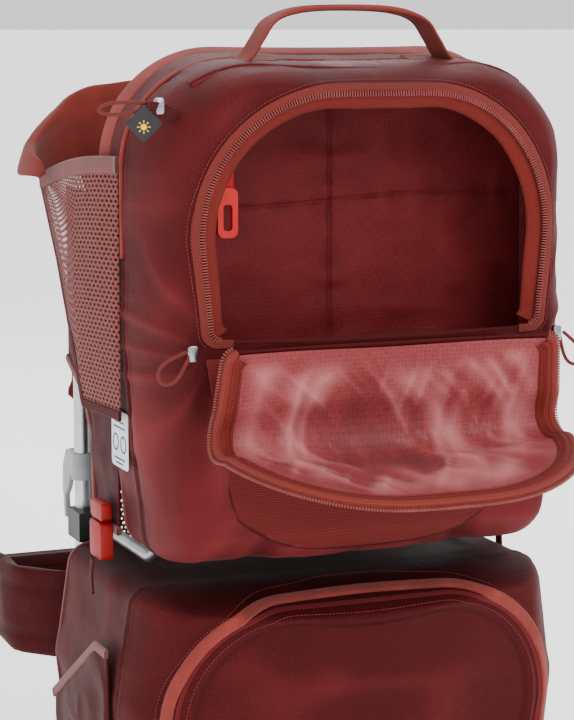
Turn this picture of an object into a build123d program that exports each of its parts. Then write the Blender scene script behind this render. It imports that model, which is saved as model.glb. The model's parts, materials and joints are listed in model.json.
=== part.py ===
from build123d import *
from math import cos, radians, sin, tan
import os

# A framed child carrier worn on the back, standing on its base with the rear pocket unzipped.
# Millimetres, +Z up.  +Y is the wearer's forward direction and -Y the pocket side.
# The origin is on the floor, in the middle of the carrier's plan box.

# ---------------------------------------------------------------- driving dimensions
CLOTH = 5.0                 # wall of a sewn, foam-lined panel
GAP = 1.0                   # running gap between neighbouring panels

FRAME_X = 172.0             # half distance between the two upright tubes
FRAME_Y = 122.0             # plane of the upright tubes
TUBE_R = 8.0
TUBE_WALL = 1.3
HOOP_TOP = 668.0
HOOP_BEND = 95.0
LOOP_X = 160.0              # half width of the rear support loop
LOOP_R = 6.0

PACK_X = 200.0              # half width of the upper pack at its side seams
SEAM_Y = -105.0             # side seams of both packs
UPPER_EDGE = (166.0, -186.0)  # where the upper pack's flanks turn into its rear face
UPPER_REAR_Y = -207.0       # middle of the upper pack's rear face
UPPER_FRONT_Y = -50.0       # child's side of the upper pack
UPPER_LOW = 318.0
UPPER_TOP = 760.0
UPPER_FOOT_X = 182.0
UPPER_CROWN = 96.0

SILL_Z = 520.0              # bottom of the rear pocket's zipped opening
OPENING_TOP = 727.0
OPENING_X = 162.0
OPENING_SILL_X = 154.0
OPENING_BEND = 120.0
FLAP_GAP = 2.5
FLAP_FOLD_Z = 600.0         # crease across the soft flap
FLAP_OPEN = 190.0           # degrees that the unzipped flap hangs from its closed place
FLAP_CURL = 92.0            # degrees that its free half then curls up

BELT_FRONT_Y = 340.0        # outer face of the hip belt buckle

LOWER_X = 212.0
LOWER_HEAD_X = 196.0
LOWER_EDGE = (184.0, -160.0)
LOWER_REAR_Y = -184.0
LOWER_FRONT_Y = 88.0
LOWER_TOP = 292.0
LOWER_REAR_FOOT = 112.0
LOWER_FRONT_FOOT = 56.0
DOOR_SILL = 136.0
DOOR_TOP = 280.0
DOOR_X = 180.0
DOOR_BEND = 104.0

PIVOT_Y = 122.0             # kickstand pivot
PIVOT_Z = 40.0
STAND_X = 165.0
STAND_Z = 13.0
STAND_REAR_Y = -237.0

WEBBING = 2.4               # thickness of woven webbing
PULL_R = 1.6                # zipper pull cord
PARTS = {}


# ---------------------------------------------------------------- helpers
def block(x, y, z):
    """A box from three (low, high) pairs."""
    size = Box(x[1] - x[0], y[1] - y[0], z[1] - z[0])
    return Pos((x[0] + x[1]) / 2, (y[0] + y[1]) / 2, (z[0] + z[1]) / 2) * size


def rod(points, radius, bend, wall=0.0):
    """A round tube or rod through points, with its corners bent to one radius."""
    path = FilletPolyline(*points, radius=bend) if len(points) > 2 else Line(*points)
    section = Circle(radius) - Circle(radius - wall) if wall else Circle(radius)
    return sweep(Plane(origin=path @ 0, z_dir=path % 0) * section, path=path)


def band(plane, points, thickness, width, bend):
    """A flat strap: its centre line lies in plane and its width runs square to it."""
    line = FilletPolyline(*points, radius=bend) if len(points) > 2 else Line(*points)
    return plane * extrude(trace(line, thickness), width / 2, both=True)


def plate(plane, points, thickness, bend=0.0):
    """A flat panel cut to an outline, with every corner rounded alike."""
    outline = make_face(Polyline(*points, close=True))
    if bend:
        outline = fillet(outline.vertices(), bend)
    return plane * extrude(outline, thickness / 2, both=True)


def across(x=0.0):
    """The side view plane at x: its own X runs along +Y and its own Y along +Z."""
    return Plane(origin=(x, 0, 0), x_dir=(0, 1, 0), z_dir=(1, 0, 0))


def level(z=0.0):
    """The plan view plane at height z."""
    return Plane(origin=(0, 0, z))


def facing(y=0.0):
    """The rear view plane at y: its own X runs along +X and its own Y along +Z."""
    return Plane(origin=(0, y, 0), x_dir=(1, 0, 0), z_dir=(0, -1, 0))


def both_sides(name, right_hand):
    """Keeps a right-hand piece and its mirror image, each under its own name."""
    PARTS[name + "_right"] = right_hand
    PARTS[name + "_left"] = mirror(right_hand, about=Plane.YZ)


def pair(right_hand):
    """A piece and its mirror image as one group of two solids."""
    return Compound([*right_hand.solids(), *mirror(right_hand, about=Plane.YZ).solids()])


def bulged(half_width, edge, rear_y, front_y, height):
    """A prism whose plan bulges from two side seams through rounded flanks to a bowed rear."""
    edge_x, edge_y = edge
    flank = ((half_width + edge_x) / 2 + 9, (SEAM_Y + edge_y) / 2 - 4)
    rear = ThreePointArc((-edge_x, edge_y), (0, rear_y), (edge_x, edge_y))
    right = ThreePointArc((edge_x, edge_y), flank, (half_width, SEAM_Y))
    left = ThreePointArc((-half_width, SEAM_Y), (-flank[0], flank[1]), (-edge_x, edge_y))
    sides = Polyline((half_width, SEAM_Y), (half_width, front_y), (-half_width, front_y), (-half_width, SEAM_Y))
    return extrude(make_face([*rear.edges(), *right.edges(), *sides.edges(), *left.edges()]), height)


def arch(half_sill, half_width, low, top, bend, inset=0.0):
    """The rear view outline of a zipped opening: a flat sill under a round arch."""
    shoulder = top - bend - 4
    points = [(-half_sill, low), (half_sill, low), (half_width, shoulder), (half_width, top),
              (-half_width, top), (-half_width, shoulder)]
    outline = make_face(Polyline(*points, close=True))
    crown = outline.vertices().sort_by(Axis.Y)[-2:]
    outline = fillet(crown, bend)
    return offset(outline, amount=-inset) if inset else outline


# ---------------------------------------------------------------- metal frame
def frame():
    hoop = [(-FRAME_X, FRAME_Y, 4), (-FRAME_X, FRAME_Y, HOOP_TOP), (FRAME_X, FRAME_Y, HOOP_TOP),
            (FRAME_X, FRAME_Y, 4)]
    PARTS["frame_hoop"] = rod(hoop, TUBE_R, HOOP_BEND, TUBE_WALL)

    loop_y = -75.0
    clamp_z = 305.0
    loop = [(-LOOP_X, FRAME_Y - 16, clamp_z), (-LOOP_X, loop_y, clamp_z), (-LOOP_X, loop_y, 700),
            (LOOP_X, loop_y, 700), (LOOP_X, loop_y, clamp_z), (LOOP_X, FRAME_Y - 16, clamp_z)]
    PARTS["rear_support_loop"] = rod(loop, LOOP_R, 34)

    # A clamp holds each end of the rear loop against its upright.
    clamp = block((LOOP_X - 9, FRAME_X + 13), (FRAME_Y - 30, FRAME_Y + 8.5), (clamp_z - 14, clamp_z + 14))
    clamp -= Pos(FRAME_X, FRAME_Y, clamp_z) * Cylinder(TUBE_R, 60)
    clamp -= rod([(LOOP_X, FRAME_Y - 60, clamp_z), (LOOP_X, FRAME_Y - 16, clamp_z)], LOOP_R, 1)
    PARTS["loop_clamps"] = pair(clamp)

    # Rubber boots close the uprights' feet.
    boot = Pos(FRAME_X, FRAME_Y, 9) * Cylinder(12, 18)
    boot -= Pos(FRAME_X, FRAME_Y, 24) * Cylinder(TUBE_R, 40)
    PARTS["upright_boots"] = pair(fillet(boot.edges().group_by(Axis.Z)[0], 3))

    # Moulded hubs on the uprights carry the kickstand's pivot pins.
    hub_z = (22.0, 66.0)
    hub = block((FRAME_X - 13, FRAME_X + 13), (FRAME_Y - 13, FRAME_Y + 13), hub_z)
    hub = fillet(hub.edges().filter_by(Axis.Z), 5)
    hub -= Pos(FRAME_X, FRAME_Y, 40) * Cylinder(TUBE_R, 80)
    PARTS["kickstand_hubs"] = pair(hub)

    # Flat grey hooks clamp round the uprights and anchor the shoulder straps' lower webbing.
    hook = [(0, 0), (16, 6), (30, 2), (40, -14), (42, -34), (36, -66), (31, -66), (33, -44),
            (24, -36), (16, -22), (0, -16)]
    bracket = plate(across(FRAME_X + 4), [(FRAME_Y + 6 + y, 368 + z) for y, z in hook], 5)
    bracket += Pos(FRAME_X, FRAME_Y, 360) * Cylinder(11, 26)
    PARTS["strap_hooks"] = pair(bracket - Pos(FRAME_X, FRAME_Y, 360) * Cylinder(TUBE_R, 60))

    # A moulded crossbar ties the uprights behind the wearer's lower back.
    bar_z = 238.0
    bar = rod([(-FRAME_X, FRAME_Y, bar_z), (FRAME_X, FRAME_Y, bar_z)], 5, 1)
    for x in (-FRAME_X, FRAME_X):
        bar += Pos(x, FRAME_Y, bar_z) * Cylinder(11, 24)
    for x in (-FRAME_X, FRAME_X):
        bar -= Pos(x, FRAME_Y, bar_z) * Cylinder(TUBE_R, 60)
    PARTS["frame_crossbar"] = bar


def kickstand():
    eye_x = FRAME_X - 22
    legs = [(-eye_x, PIVOT_Y - 8, PIVOT_Z - 2), (-eye_x, 60, STAND_Z), (-eye_x, STAND_REAR_Y, STAND_Z),
            (eye_x, STAND_REAR_Y, STAND_Z), (eye_x, 60, STAND_Z), (eye_x, PIVOT_Y - 8, PIVOT_Z - 2)]
    PARTS["kickstand_loop"] = rod(legs, TUBE_R, 40, TUBE_WALL)

    # Each leg ends in an eye that turns on its pin.
    eye = Pos(eye_x, PIVOT_Y, PIVOT_Z) * Rot(0, 90, 0) * (Cylinder(11, 10) - Cylinder(4.06, 10))
    PARTS["kickstand_eyes"] = pair(eye - rod(legs[3:], TUBE_R, 40))
    PARTS["kickstand_loop"] -= Pos(0, PIVOT_Y, PIVOT_Z) * Rot(0, 90, 0) * Cylinder(4.6, 400)

    pin = Pos(FRAME_X - 21, PIVOT_Y, PIVOT_Z) * Rot(0, 90, 0) * Cylinder(4, 16)
    pin += Pos(FRAME_X - 29, PIVOT_Y, PIVOT_Z) * Rot(0, 90, 0) * Cylinder(7, 3)
    PARTS["kickstand_pins"] = pair(pin)

    # Rubber sleeves on the rear bar are what the carrier rests on.
    sleeve = Pos(78, STAND_REAR_Y, STAND_Z) * Rot(0, 90, 0) * Cylinder(13, 52)
    sleeve -= Pos(78, STAND_REAR_Y, STAND_Z) * Rot(0, 90, 0) * Cylinder(TUBE_R, 60)
    PARTS["kickstand_sleeves"] = pair(sleeve)


# ---------------------------------------------------------------- upper pack
def upper_body(inset):
    rear_view = [(-UPPER_FOOT_X, UPPER_LOW), (UPPER_FOOT_X, UPPER_LOW), (PACK_X, 520),
                 (PACK_X, UPPER_TOP), (-PACK_X, UPPER_TOP), (-PACK_X, 520)]
    outline = make_face(Polyline(*rear_view, close=True))
    outline = fillet(outline.vertices().sort_by(Axis.Y)[-2:], UPPER_CROWN)
    side_view = [(-40, UPPER_LOW), (-150, UPPER_LOW), (-172, 346), (-180, 432), (UPPER_REAR_Y, SILL_Z - 4),
                 (UPPER_REAR_Y, 706), (-176, 737), (SEAM_Y, 749), (-40, UPPER_TOP)]
    profile = make_face(Polyline(*side_view, close=True))
    if inset:
        outline = offset(outline, amount=-inset)
        profile = offset(profile, amount=-inset)
    body = extrude(facing() * outline, 400, both=True) & extrude(across() * profile, 400, both=True)
    edge = (UPPER_EDGE[0] - inset, UPPER_EDGE[1] + inset)
    return body & bulged(PACK_X - inset, edge, UPPER_REAR_Y + inset, UPPER_FRONT_Y - inset, 900)


def upper_pack():
    shell = upper_body(0) - upper_body(CLOTH)
    face = shell & block((-300, 300), (-300, SEAM_Y), (0, 900))
    hole = arch(OPENING_SILL_X, OPENING_X, SILL_Z, OPENING_TOP, OPENING_BEND)
    rear_only = block((-300, 300), (-300, -130), (0, 900))
    PARTS["upper_face"] = face - (extrude(facing() * hole, 300, both=True) & rear_only)

    front = block((-300, 300), (UPPER_FRONT_Y - CLOTH, UPPER_FRONT_Y + 1), (0, 900))
    PARTS["upper_backrest"] = shell & front
    ring = (shell - face) - front
    split_low = UPPER_LOW + CLOTH
    split_high = 664.0
    floor = ring & block((-300, 300), (-300, 0), (UPPER_LOW, split_low))
    # The rear support loop comes up through two slots in the floor.
    slot = block((LOOP_X - 9, LOOP_X + 9), (-84, UPPER_FRONT_Y + 1), (UPPER_LOW - 1, split_low + 1))
    PARTS["upper_floor"] = floor - slot - mirror(slot, about=Plane.YZ)
    PARTS["upper_roof"] = ring & block((-300, 300), (-300, 0), (split_high, 800))
    PARTS["upper_sides"] = pair(ring & block((0, 300), (-300, 0), (split_low, split_high)))

    lining = upper_body(CLOTH + GAP) & block((-300, 300), (-94, -91), (0, 900))
    PARTS["pocket_lining"] = lining

    # The pocket's zipped front is what the opening leaves.  It hangs open from its sill and, being
    # soft, creases across the middle so that its free half curls up like the front of a bowl.
    leaf = arch(OPENING_SILL_X, OPENING_X, SILL_Z, OPENING_TOP, OPENING_BEND, FLAP_GAP)
    flap = face & (extrude(facing() * leaf, 300, both=True) & rear_only)
    hinge = Axis((0, UPPER_REAR_Y - 2, SILL_Z), (1, 0, 0))
    crease = Axis((0, UPPER_REAR_Y + 23, FLAP_FOLD_Z), (1, 0, 0))
    base = flap & block((-300, 300), (-300, 0), (0, FLAP_FOLD_Z - 1.2))
    relief = make_face(Polyline((-260, FLAP_FOLD_Z - 1), (-260, FLAP_FOLD_Z + 1.2),
                                (crease.position.Y, FLAP_FOLD_Z + 1.2), (-120, FLAP_FOLD_Z + 112),
                                (-120, FLAP_FOLD_Z - 1), close=True))
    crown = (flap & block((-300, 300), (-300, 0), (FLAP_FOLD_Z, 900)))
    crown -= extrude(across() * relief, 400, both=True)
    PARTS["flap_base"] = base.rotate(hinge, FLAP_OPEN)
    PARTS["flap_crown"] = crown.rotate(crease, -FLAP_CURL).rotate(hinge, FLAP_OPEN)


# ---------------------------------------------------------------- lower pack
def lower_body(inset):
    rear_view = [(-LOWER_X + 12, LOWER_FRONT_FOOT), (LOWER_X - 12, LOWER_FRONT_FOOT), (LOWER_X, 185),
                 (LOWER_HEAD_X, LOWER_TOP), (-LOWER_HEAD_X, LOWER_TOP), (-LOWER_X, 185)]
    side_view = [(LOWER_FRONT_Y + 20, LOWER_FRONT_FOOT), (LOWER_FRONT_Y + 20, LOWER_TOP), (-168, LOWER_TOP),
                 (LOWER_REAR_Y, 262), (LOWER_REAR_Y, LOWER_REAR_FOOT)]
    outline = make_face(Polyline(*rear_view, close=True))
    profile = make_face(Polyline(*side_view, close=True))
    if inset:
        outline = offset(outline, amount=-inset)
        profile = offset(profile, amount=-inset)
    body = extrude(facing() * outline, 400, both=True) & extrude(across() * profile, 400, both=True)
    edge = (LOWER_EDGE[0] - inset, LOWER_EDGE[1] + inset)
    return body & bulged(LOWER_X - inset, edge, LOWER_REAR_Y + inset, LOWER_FRONT_Y - inset, 900)


def lower_pack():
    shell = lower_body(0) - lower_body(CLOTH)
    face = shell & block((-300, 300), (-300, SEAM_Y), (0, 900))
    rear_only = block((-300, 300), (-300, -126), (0, 900))
    hole = arch(DOOR_X - 6, DOOR_X, DOOR_SILL, DOOR_TOP, DOOR_BEND)
    PARTS["lower_face"] = face - (extrude(facing() * hole, 300, both=True) & rear_only)
    leaf = arch(DOOR_X - 6, DOOR_X, DOOR_SILL, DOOR_TOP, DOOR_BEND, FLAP_GAP)
    PARTS["lower_door"] = face & (extrude(facing() * leaf, 300, both=True) & rear_only)

    ring = shell - face
    top = block((-300, 300), (-300, 300), (LOWER_TOP - CLOTH, 400))
    front = block((-300, 300), (LOWER_FRONT_Y - CLOTH, 300), (0, LOWER_TOP - CLOTH))
    PARTS["lower_ceiling"] = ring & top
    PARTS["lower_front_wall"] = (ring - top) & front
    ring = ring - top - front
    under = extrude(across() * make_face(Polyline((-300, 0), (-300, 160), (SEAM_Y, 111), (LOWER_FRONT_Y, 73),
                                                  (300, 0), close=True)), 400, both=True)
    PARTS["lower_floor"] = ring & under
    PARTS["lower_sides"] = pair((ring - under) & block((0, 300), (-300, 300), (0, 400)))

    pocket = plate(across(LOWER_X + 4), [(-92, 124), (70, 96), (76, 150), (-60, 232), (-92, 232)], 4, 8)
    PARTS["side_pockets"] = pair(pocket)


# ---------------------------------------------------------------- cockpit
def cockpit():
    """The walls round the child: mesh gussets and cloth sides, and a padded collar in front."""
    seam = (PACK_X + 4, SEAM_Y + 6)
    tip = (222.0, 74.0)
    run = Vector(tip[0] - seam[0], tip[1] - seam[1], 0)
    gusset_plane = Plane(origin=(seam[0], seam[1], 0), x_dir=run, z_dir=run.cross(Vector(0, 0, 1)))
    gusset = [(0, 446), (82, 446), (104, 500), (136, 572), (run.length, 640), (0, 664)]
    PARTS["mesh_gussets"] = pair(plate(gusset_plane, gusset, 2.4))

    cloth = [(UPPER_FRONT_Y + GAP, 332), (22, 332), (26, 408), (52, 444), (104, 470), (104, 632),
             (UPPER_FRONT_Y + GAP, 632)]
    PARTS["side_cloths"] = pair(plate(across(190), cloth, 4, 6))

    collar_top = 738.0
    front = plate(facing(98), [(-158, 566), (158, 566), (158, collar_top), (-158, collar_top)], 14, 24)
    PARTS["front_collar"] = front
    wing = band(level(), [(159, 98), (196, 102), (226, 76), (232, 40)], 12, 2, 20)
    wing = extrude(wing.faces().sort_by(Axis.Z)[-1], 100)
    wing = Pos(0, 0, 648) * wing
    slope = make_face(Polyline((0, 760), (166, 731), (240, 668), (240, 760), close=True))
    wing -= extrude(facing() * slope, 400, both=True)
    PARTS["collar_wings"] = pair(wing)

    seat = plate(across(), [(-46, 372), (-46, 500), (-38, 500), (-34, 392), (70, 384), (92, 430), (96, 430),
                            (82, 372)], 118)
    PARTS["child_seat"] = seat
    pad = Pos(0, -44.5, 596) * Box(250, 7, 150)
    PARTS["head_pad"] = fillet(pad.edges().filter_by(Axis.Y), 30)

    # Harness: two padded shoulder bands lie down the head pad and meet a chest buckle.
    harness = band(across(46), [(-36, 664), (-30, 640), (-22, 560), (-20, 470)], 7, 34, 20)
    PARTS["child_harness"] = pair(harness)
    buckle = block((-26, 26), (-24, -12), (500, 530))
    PARTS["chest_buckle"] = fillet(buckle.edges().filter_by(Axis.Y), 7)


# ---------------------------------------------------------------- wearer's harness
def wearer_side():
    PARTS["back_mesh"] = block((-156, 156), (FRAME_Y + 9, FRAME_Y + 12), (150, 600))
    PARTS["lumbar_pad"] = plate(facing(146), [(-118, 158), (118, 158), (100, 262), (-100, 262)], 18, 24)
    PARTS["yoke_pad"] = plate(facing(141), [(-96, 520), (96, 520), (84, 628), (-84, 628)], 12, 18)

    rise = [(154, 606), (160, 650), (196, 694), (232, 676), (243, 600), (236, 520), (212, 440), (190, 398)]
    strap = Pos(250, 0, 22) * Rot(0, -16, 0) * band(across(), rise, 13, 62, 22)
    PARTS["shoulder_straps"] = pair(strap)

    webbing = band(across(146), [(191, 392), (177, 330), (168, 290), (164, 258)], WEBBING, 20, 30)
    PARTS["strap_webbing"] = pair(webbing)

    wing = [(124, 149), (184, 158), (220, 194), (224, BELT_FRONT_Y - 42)]
    both_sides("hip_wing", Pos(0, 0, 205) * band(level(), wing, 16, 96, 26))
    run_y = BELT_FRONT_Y - 6
    both_sides("hip_webbing", Pos(0, 0, 205) * band(level(), [(219, run_y - 32), (204, run_y), (64, run_y)],
                                                    WEBBING, 38, 14))
    body_y = (run_y - 6, BELT_FRONT_Y)
    slot_y = (run_y - 3, run_y + 3)
    PARTS["hip_buckle_plug"] = block((-63, -25), body_y, (186, 224)) + block((-27, -7), slot_y, (192, 218))
    socket = block((21, 63), body_y, (184, 226))
    socket = fillet(socket.edges().filter_by(Axis.Y), 5)
    PARTS["hip_buckle_socket"] = socket - block((20, 45), slot_y, (191, 219))

    sternum_z = 566.0
    chest = [(-78, 252), (78, 252)]
    PARTS["sternum_webbing"] = Pos(0, 0, sternum_z) * band(level(), chest, WEBBING, 20, 1)
    clip = block((-22, 22), (253.5, 262), (sternum_z - 13, sternum_z + 13))
    PARTS["sternum_buckle"] = fillet(clip.edges().filter_by(Axis.Y), 5)


# ---------------------------------------------------------------- clips, pulls and small parts
HANDLE_Y = -118.0
HANDLE_Z = 751.25


def handle():
    """A webbing grab handle whose ends turn under and are stitched flat along the pack's roof."""
    grip = [(-98, 1.4), (-84, 14), (-74, 35), (-44, 46), (44, 46), (74, 35), (84, 14), (98, 1.4)]
    handle_band = band(facing(HANDLE_Y), [(x, HANDLE_Z + z) for x, z in grip], 4.2, 36, 6)
    for x in (-81, 81):
        handle_band += band(across(x), [(-96, 752.1), (-136, 745.4)], 2.6, 36, 1)
    PARTS["grab_handle"] = handle_band


def side_clips():
    """Side-release buckles that cinch the packs together at both sides."""
    x, y, z = 199.0, -24.0, 330.0
    socket = block((x - 6, x + 6), (y - 17, y + 17), (z - 26, z + 8))
    socket = fillet(socket.edges().filter_by(Axis.X), 5)
    PARTS["side_sockets"] = pair(socket - block((x - 3.2, x + 3.2), (y - 12, y + 12), (z - 14, z + 20)))
    plug = block((x - 5, x + 5), (y - 17, y + 17), (z + 10, z + 26))
    plug = fillet(plug.edges().filter_by(Axis.X), 4)
    prongs = block((x - 3, x + 3), (y - 11, y + 11), (z - 11, z + 12))
    plug += prongs - block((x - 4, x + 4), (y - 5, y + 5), (z - 12, z + 4))
    both_sides("side_plug", plug)
    loop = [(y - 1.5, z - 26.6), (y + 3.5, z - 44), (y + 1, z - 60)]
    PARTS["clip_webbing"] = pair(band(across(x + 9), loop, WEBBING, 10, 8))


LOOP_SHAPE = [(0.0, 0.22), (0.34, 0.62), (0.66, 0.86), (0.9, 0.62), (1.0, 0.0), (0.9, -0.62),
              (0.66, -0.86), (0.34, -0.62), (0.0, -0.22)]


def pull(start, reach, half_width, slant):
    """A zipper pull's cord: a slender loop out from its slider and back, lying in the rear view."""
    along = Vector(cos(radians(slant)), 0, sin(radians(slant)))
    aside = Vector(-sin(radians(slant)), 0, cos(radians(slant)))
    route = [Vector(*start) + along * (u * reach) + aside * (v * half_width) for u, v in LOOP_SHAPE]
    route = [p + Vector(0, -3.0 * u, 0) for p, (u, v) in zip(route, LOOP_SHAPE)]
    radii = []
    for before, corner, after in zip(route, route[1:], route[2:]):
        turn = (corner - before).get_angle(after - corner)
        run = min((corner - before).length, (after - corner).length)
        radii.append(0.45 * run / tan(radians(turn / 2)))
    path = FilletPolyline(*route, radius=radii)
    print("pull", round(path.length, 1), "mm, radii", [round(r, 1) for r in radii])
    return sweep(Plane(origin=path @ 0, z_dir=path % 0) * Circle(PULL_R), path=path)


def trims():
    # Sliders and their cord pulls, where each zip stops.
    def slider(x, y, z):
        body = block((x - 4, x + 4), (y - 3, y + 3), (z - 7, z + 7))
        return fillet(body.edges().filter_by(Axis.Y), 2.5)

    sliders = [slider(-171, -196, 512), slider(171, -196, 512), slider(-190, -170, 716)]
    PARTS["zip_sliders"] = Compound([solid for one in sliders for solid in one.solids()])
    PARTS["pocket_pull_left"] = pull((-175.6, -197, 512), 34, 11, 220)
    PARTS["pocket_pull_right"] = pull((175.6, -197, 512), 32, 10, -60)
    PARTS["shade_pull"] = pull((-194.6, -171, 717), 50, 6, 184)
    tag = plate(Plane(origin=(-206, -178, 702), x_dir=(0.93, -0.37, 0), z_dir=(-0.37, -0.93, 0)),
                [(0, 16.5), (14.5, 0), (0, -16.5), (-14.5, 0)], 1.4)
    PARTS["sun_tag"] = tag

    PARTS["care_label"] = block((-197.4, -196), (-100, -54), (396, 447))
    clip = block((-141, -129), (-182.5, -179.5), (650, 692))
    hook = fillet(block((-144, -126), (-184.5, -179), (606, 648)).edges().filter_by(Axis.Y), 6)
    hook -= fillet(block((-139, -131), (-186, -177), (612, 634)).edges().filter_by(Axis.Y), 3)
    PARTS["key_strap"] = clip
    PARTS["key_hook"] = hook


frame()
kickstand()
upper_pack()
lower_pack()
cockpit()
wearer_side()
handle()
side_clips()
trims()
os.makedirs("parts", exist_ok=True)
for node, shape in PARTS.items():
    export_step(shape, f"parts/{node}.step")
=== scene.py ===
import json
import math

import bpy
import numpy as np
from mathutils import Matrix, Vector


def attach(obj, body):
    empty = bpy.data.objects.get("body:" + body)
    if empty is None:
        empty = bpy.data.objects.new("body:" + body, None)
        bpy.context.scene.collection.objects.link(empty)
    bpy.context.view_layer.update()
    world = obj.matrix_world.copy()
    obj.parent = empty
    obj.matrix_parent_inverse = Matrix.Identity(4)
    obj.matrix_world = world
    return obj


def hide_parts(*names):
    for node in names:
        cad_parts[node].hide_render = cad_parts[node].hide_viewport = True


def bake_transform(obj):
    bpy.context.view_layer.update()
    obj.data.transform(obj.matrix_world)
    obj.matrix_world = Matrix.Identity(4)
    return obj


# The looks of a framed child carrier: sewn packs, zips, webbing, pads, mesh and hardware.
# Lengths are millimetres until a mesh is made, and metres in materials, lights and the camera.
# +Z is up and -Y is the side of the rear pocket.

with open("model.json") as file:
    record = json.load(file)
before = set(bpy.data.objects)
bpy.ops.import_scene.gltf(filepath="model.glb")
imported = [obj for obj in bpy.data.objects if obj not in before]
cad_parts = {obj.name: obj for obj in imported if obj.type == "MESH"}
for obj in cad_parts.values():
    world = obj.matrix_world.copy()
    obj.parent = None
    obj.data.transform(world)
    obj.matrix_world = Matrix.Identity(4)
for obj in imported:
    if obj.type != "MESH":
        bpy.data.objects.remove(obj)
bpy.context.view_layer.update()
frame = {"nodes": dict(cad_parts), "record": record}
TAU = 2 * math.pi


# ---------------------------------------------------------------- numbers and noise
def smooth(a, b, x):
    """0 below a, 1 above b, and 3t^2 - 2t^3 between."""
    t = np.clip((np.asarray(x, float) - a) / (b - a), 0, 1)
    return t * t * (3 - 2 * t)


def mix(a, b, t):
    """a where t is 0, b where it is 1."""
    return a * (1 - t) + b * t


def lattice(p, seed):
    """Repeatable values between -1 and 1 at whole-number points."""
    h = np.sin(p @ np.array([127.1, 311.7, 74.7]) + seed * 17.13) * 43758.5453
    return 2 * (h - np.floor(h)) - 1


def noise(points, size, seed=0):
    """Smooth value noise: lattice values blended by 3t^2 - 2t^3 along each axis.  size is the cell."""
    p = np.asarray(points, float) / np.asarray(size, float)
    cell = np.floor(p)
    f = p - cell
    f = f * f * (3 - 2 * f)
    total = 0
    for i in (0, 1):
        for j in (0, 1):
            for k in (0, 1):
                weight = ((f[..., 0] if i else 1 - f[..., 0]) * (f[..., 1] if j else 1 - f[..., 1])
                          * (f[..., 2] if k else 1 - f[..., 2]))
                total = total + weight * lattice(cell + np.array([i, j, k]), seed)
    return total


def folds(points, size, seed=0):
    """Creased cloth: 1 - 2|noise| on two scales, which has sharp ridges and soft valleys."""
    size = np.asarray(size, float)
    big = 1 - np.abs(noise(points, size, seed)) * 2
    small = 1 - np.abs(noise(points, size * 0.45, seed + 5)) * 2
    return 0.7 * big + 0.3 * small


def resample(points, step):
    """Points evenly spaced along a Catmull-Rom curve through the given ones."""
    p = np.asarray(points, float)
    p = np.vstack([2 * p[0] - p[1], p, 2 * p[-1] - p[-2]])
    out = []
    for a, b, c, d in zip(p, p[1:], p[2:], p[3:]):
        for t in np.linspace(0, 1, 24, endpoint=False):
            out.append(0.5 * (2 * b + (c - a) * t + (2 * a - 5 * b + 4 * c - d) * t * t
                              + (3 * b - a - 3 * c + d) * t ** 3))
    out.append(p[-2])
    return even(np.array(out), step)


def even(p, step):
    """The same polyline with evenly spaced points."""
    run = np.concatenate([[0], np.cumsum(np.linalg.norm(np.diff(p, axis=0), axis=1))])
    n = max(2, int(round(run[-1] / step)) + 1)
    s = np.linspace(0, run[-1], n)
    return np.stack([np.interp(s, run, p[:, k]) for k in range(p.shape[1])], axis=1)


def lengths(p):
    """Distance run along a polyline at each of its points."""
    return np.concatenate([[0], np.cumsum(np.linalg.norm(np.diff(p, axis=0), axis=1))])


def unit(v):
    """Vectors scaled to length 1."""
    return v / np.maximum(np.linalg.norm(v, axis=-1, keepdims=True), 1e-9)


# ---------------------------------------------------------------- meshes
def make_mesh(name, verts, faces, mat, body, uv=None, shade=True, painted_light=None):
    """A piece from points in millimetres.  uv is one pair per point, and there may be one value per point of
    painted light: painted highlight above 0, painted shade below 0.
    """
    mesh = bpy.data.meshes.new(name)
    mesh.from_pydata((np.asarray(verts, float) / 1000).tolist(), [], [list(map(int, f)) for f in faces])
    if uv is not None:
        layer = mesh.uv_layers.new(name="UVMap")
        index = np.empty(len(mesh.loops), dtype=np.int32)
        mesh.loops.foreach_get("vertex_index", index)
        layer.data.foreach_set("uv", (np.asarray(uv, float)[index] / 1000).ravel())
    if painted_light is not None:
        attribute = mesh.attributes.new("painted_light", "FLOAT", "POINT")
        attribute.data.foreach_set("value", np.asarray(painted_light, float).ravel())
    mesh.polygons.foreach_set("use_smooth", [shade] * len(mesh.polygons))
    mesh.update()
    piece = bpy.data.objects.new(name, mesh)
    bpy.context.scene.collection.objects.link(piece)
    mesh.materials.append(mat)
    if body:
        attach(piece, body)
    return piece


def grid_faces(nu, nv, closed_u=False, closed_v=False):
    """Quads of a grid whose point (i, j) is number i * nv + j."""
    i = np.arange(nu if closed_u else nu - 1)
    j = np.arange(nv if closed_v else nv - 1)
    i, j = np.meshgrid(i, j, indexing="ij")
    i2, j2 = (i + 1) % nu, (j + 1) % nv
    return np.stack([i * nv + j, i2 * nv + j, i2 * nv + j2, i * nv + j2], axis=-1).reshape(-1, 4)


def grid_uv(p):
    """Distances along the middle row and the middle column, so that a weave keeps its real size."""
    nu, nv = p.shape[:2]
    along_u = lengths(p[:, nv // 2])
    along_v = lengths(p[nu // 2])
    return np.stack(np.meshgrid(along_u, along_v, indexing="ij"), axis=-1).reshape(-1, 2)


def grid_piece(name, p, mat, body, uv=None, closed_u=False, closed_v=False, thick=0.0, side=1,
               painted_light=None, flip=False):
    """A sheet through a grid of points, with a Solidify wall of the given thickness if there is one."""
    nu, nv = p.shape[:2]
    faces = grid_faces(nu, nv, closed_u, closed_v)
    if flip:
        faces = faces[:, ::-1]
    if uv is None:
        uv = grid_uv(p)
    piece = make_mesh(name, p.reshape(-1, 3), faces, mat, body, uv=np.asarray(uv).reshape(-1, 2),
                      painted_light=None if painted_light is None else np.asarray(painted_light).reshape(-1))
    if thick:
        wall = piece.modifiers.new("wall", "SOLIDIFY")
        wall.thickness = thick / 1000
        wall.offset = -side
        wall.use_even_offset = False
    return piece


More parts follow.
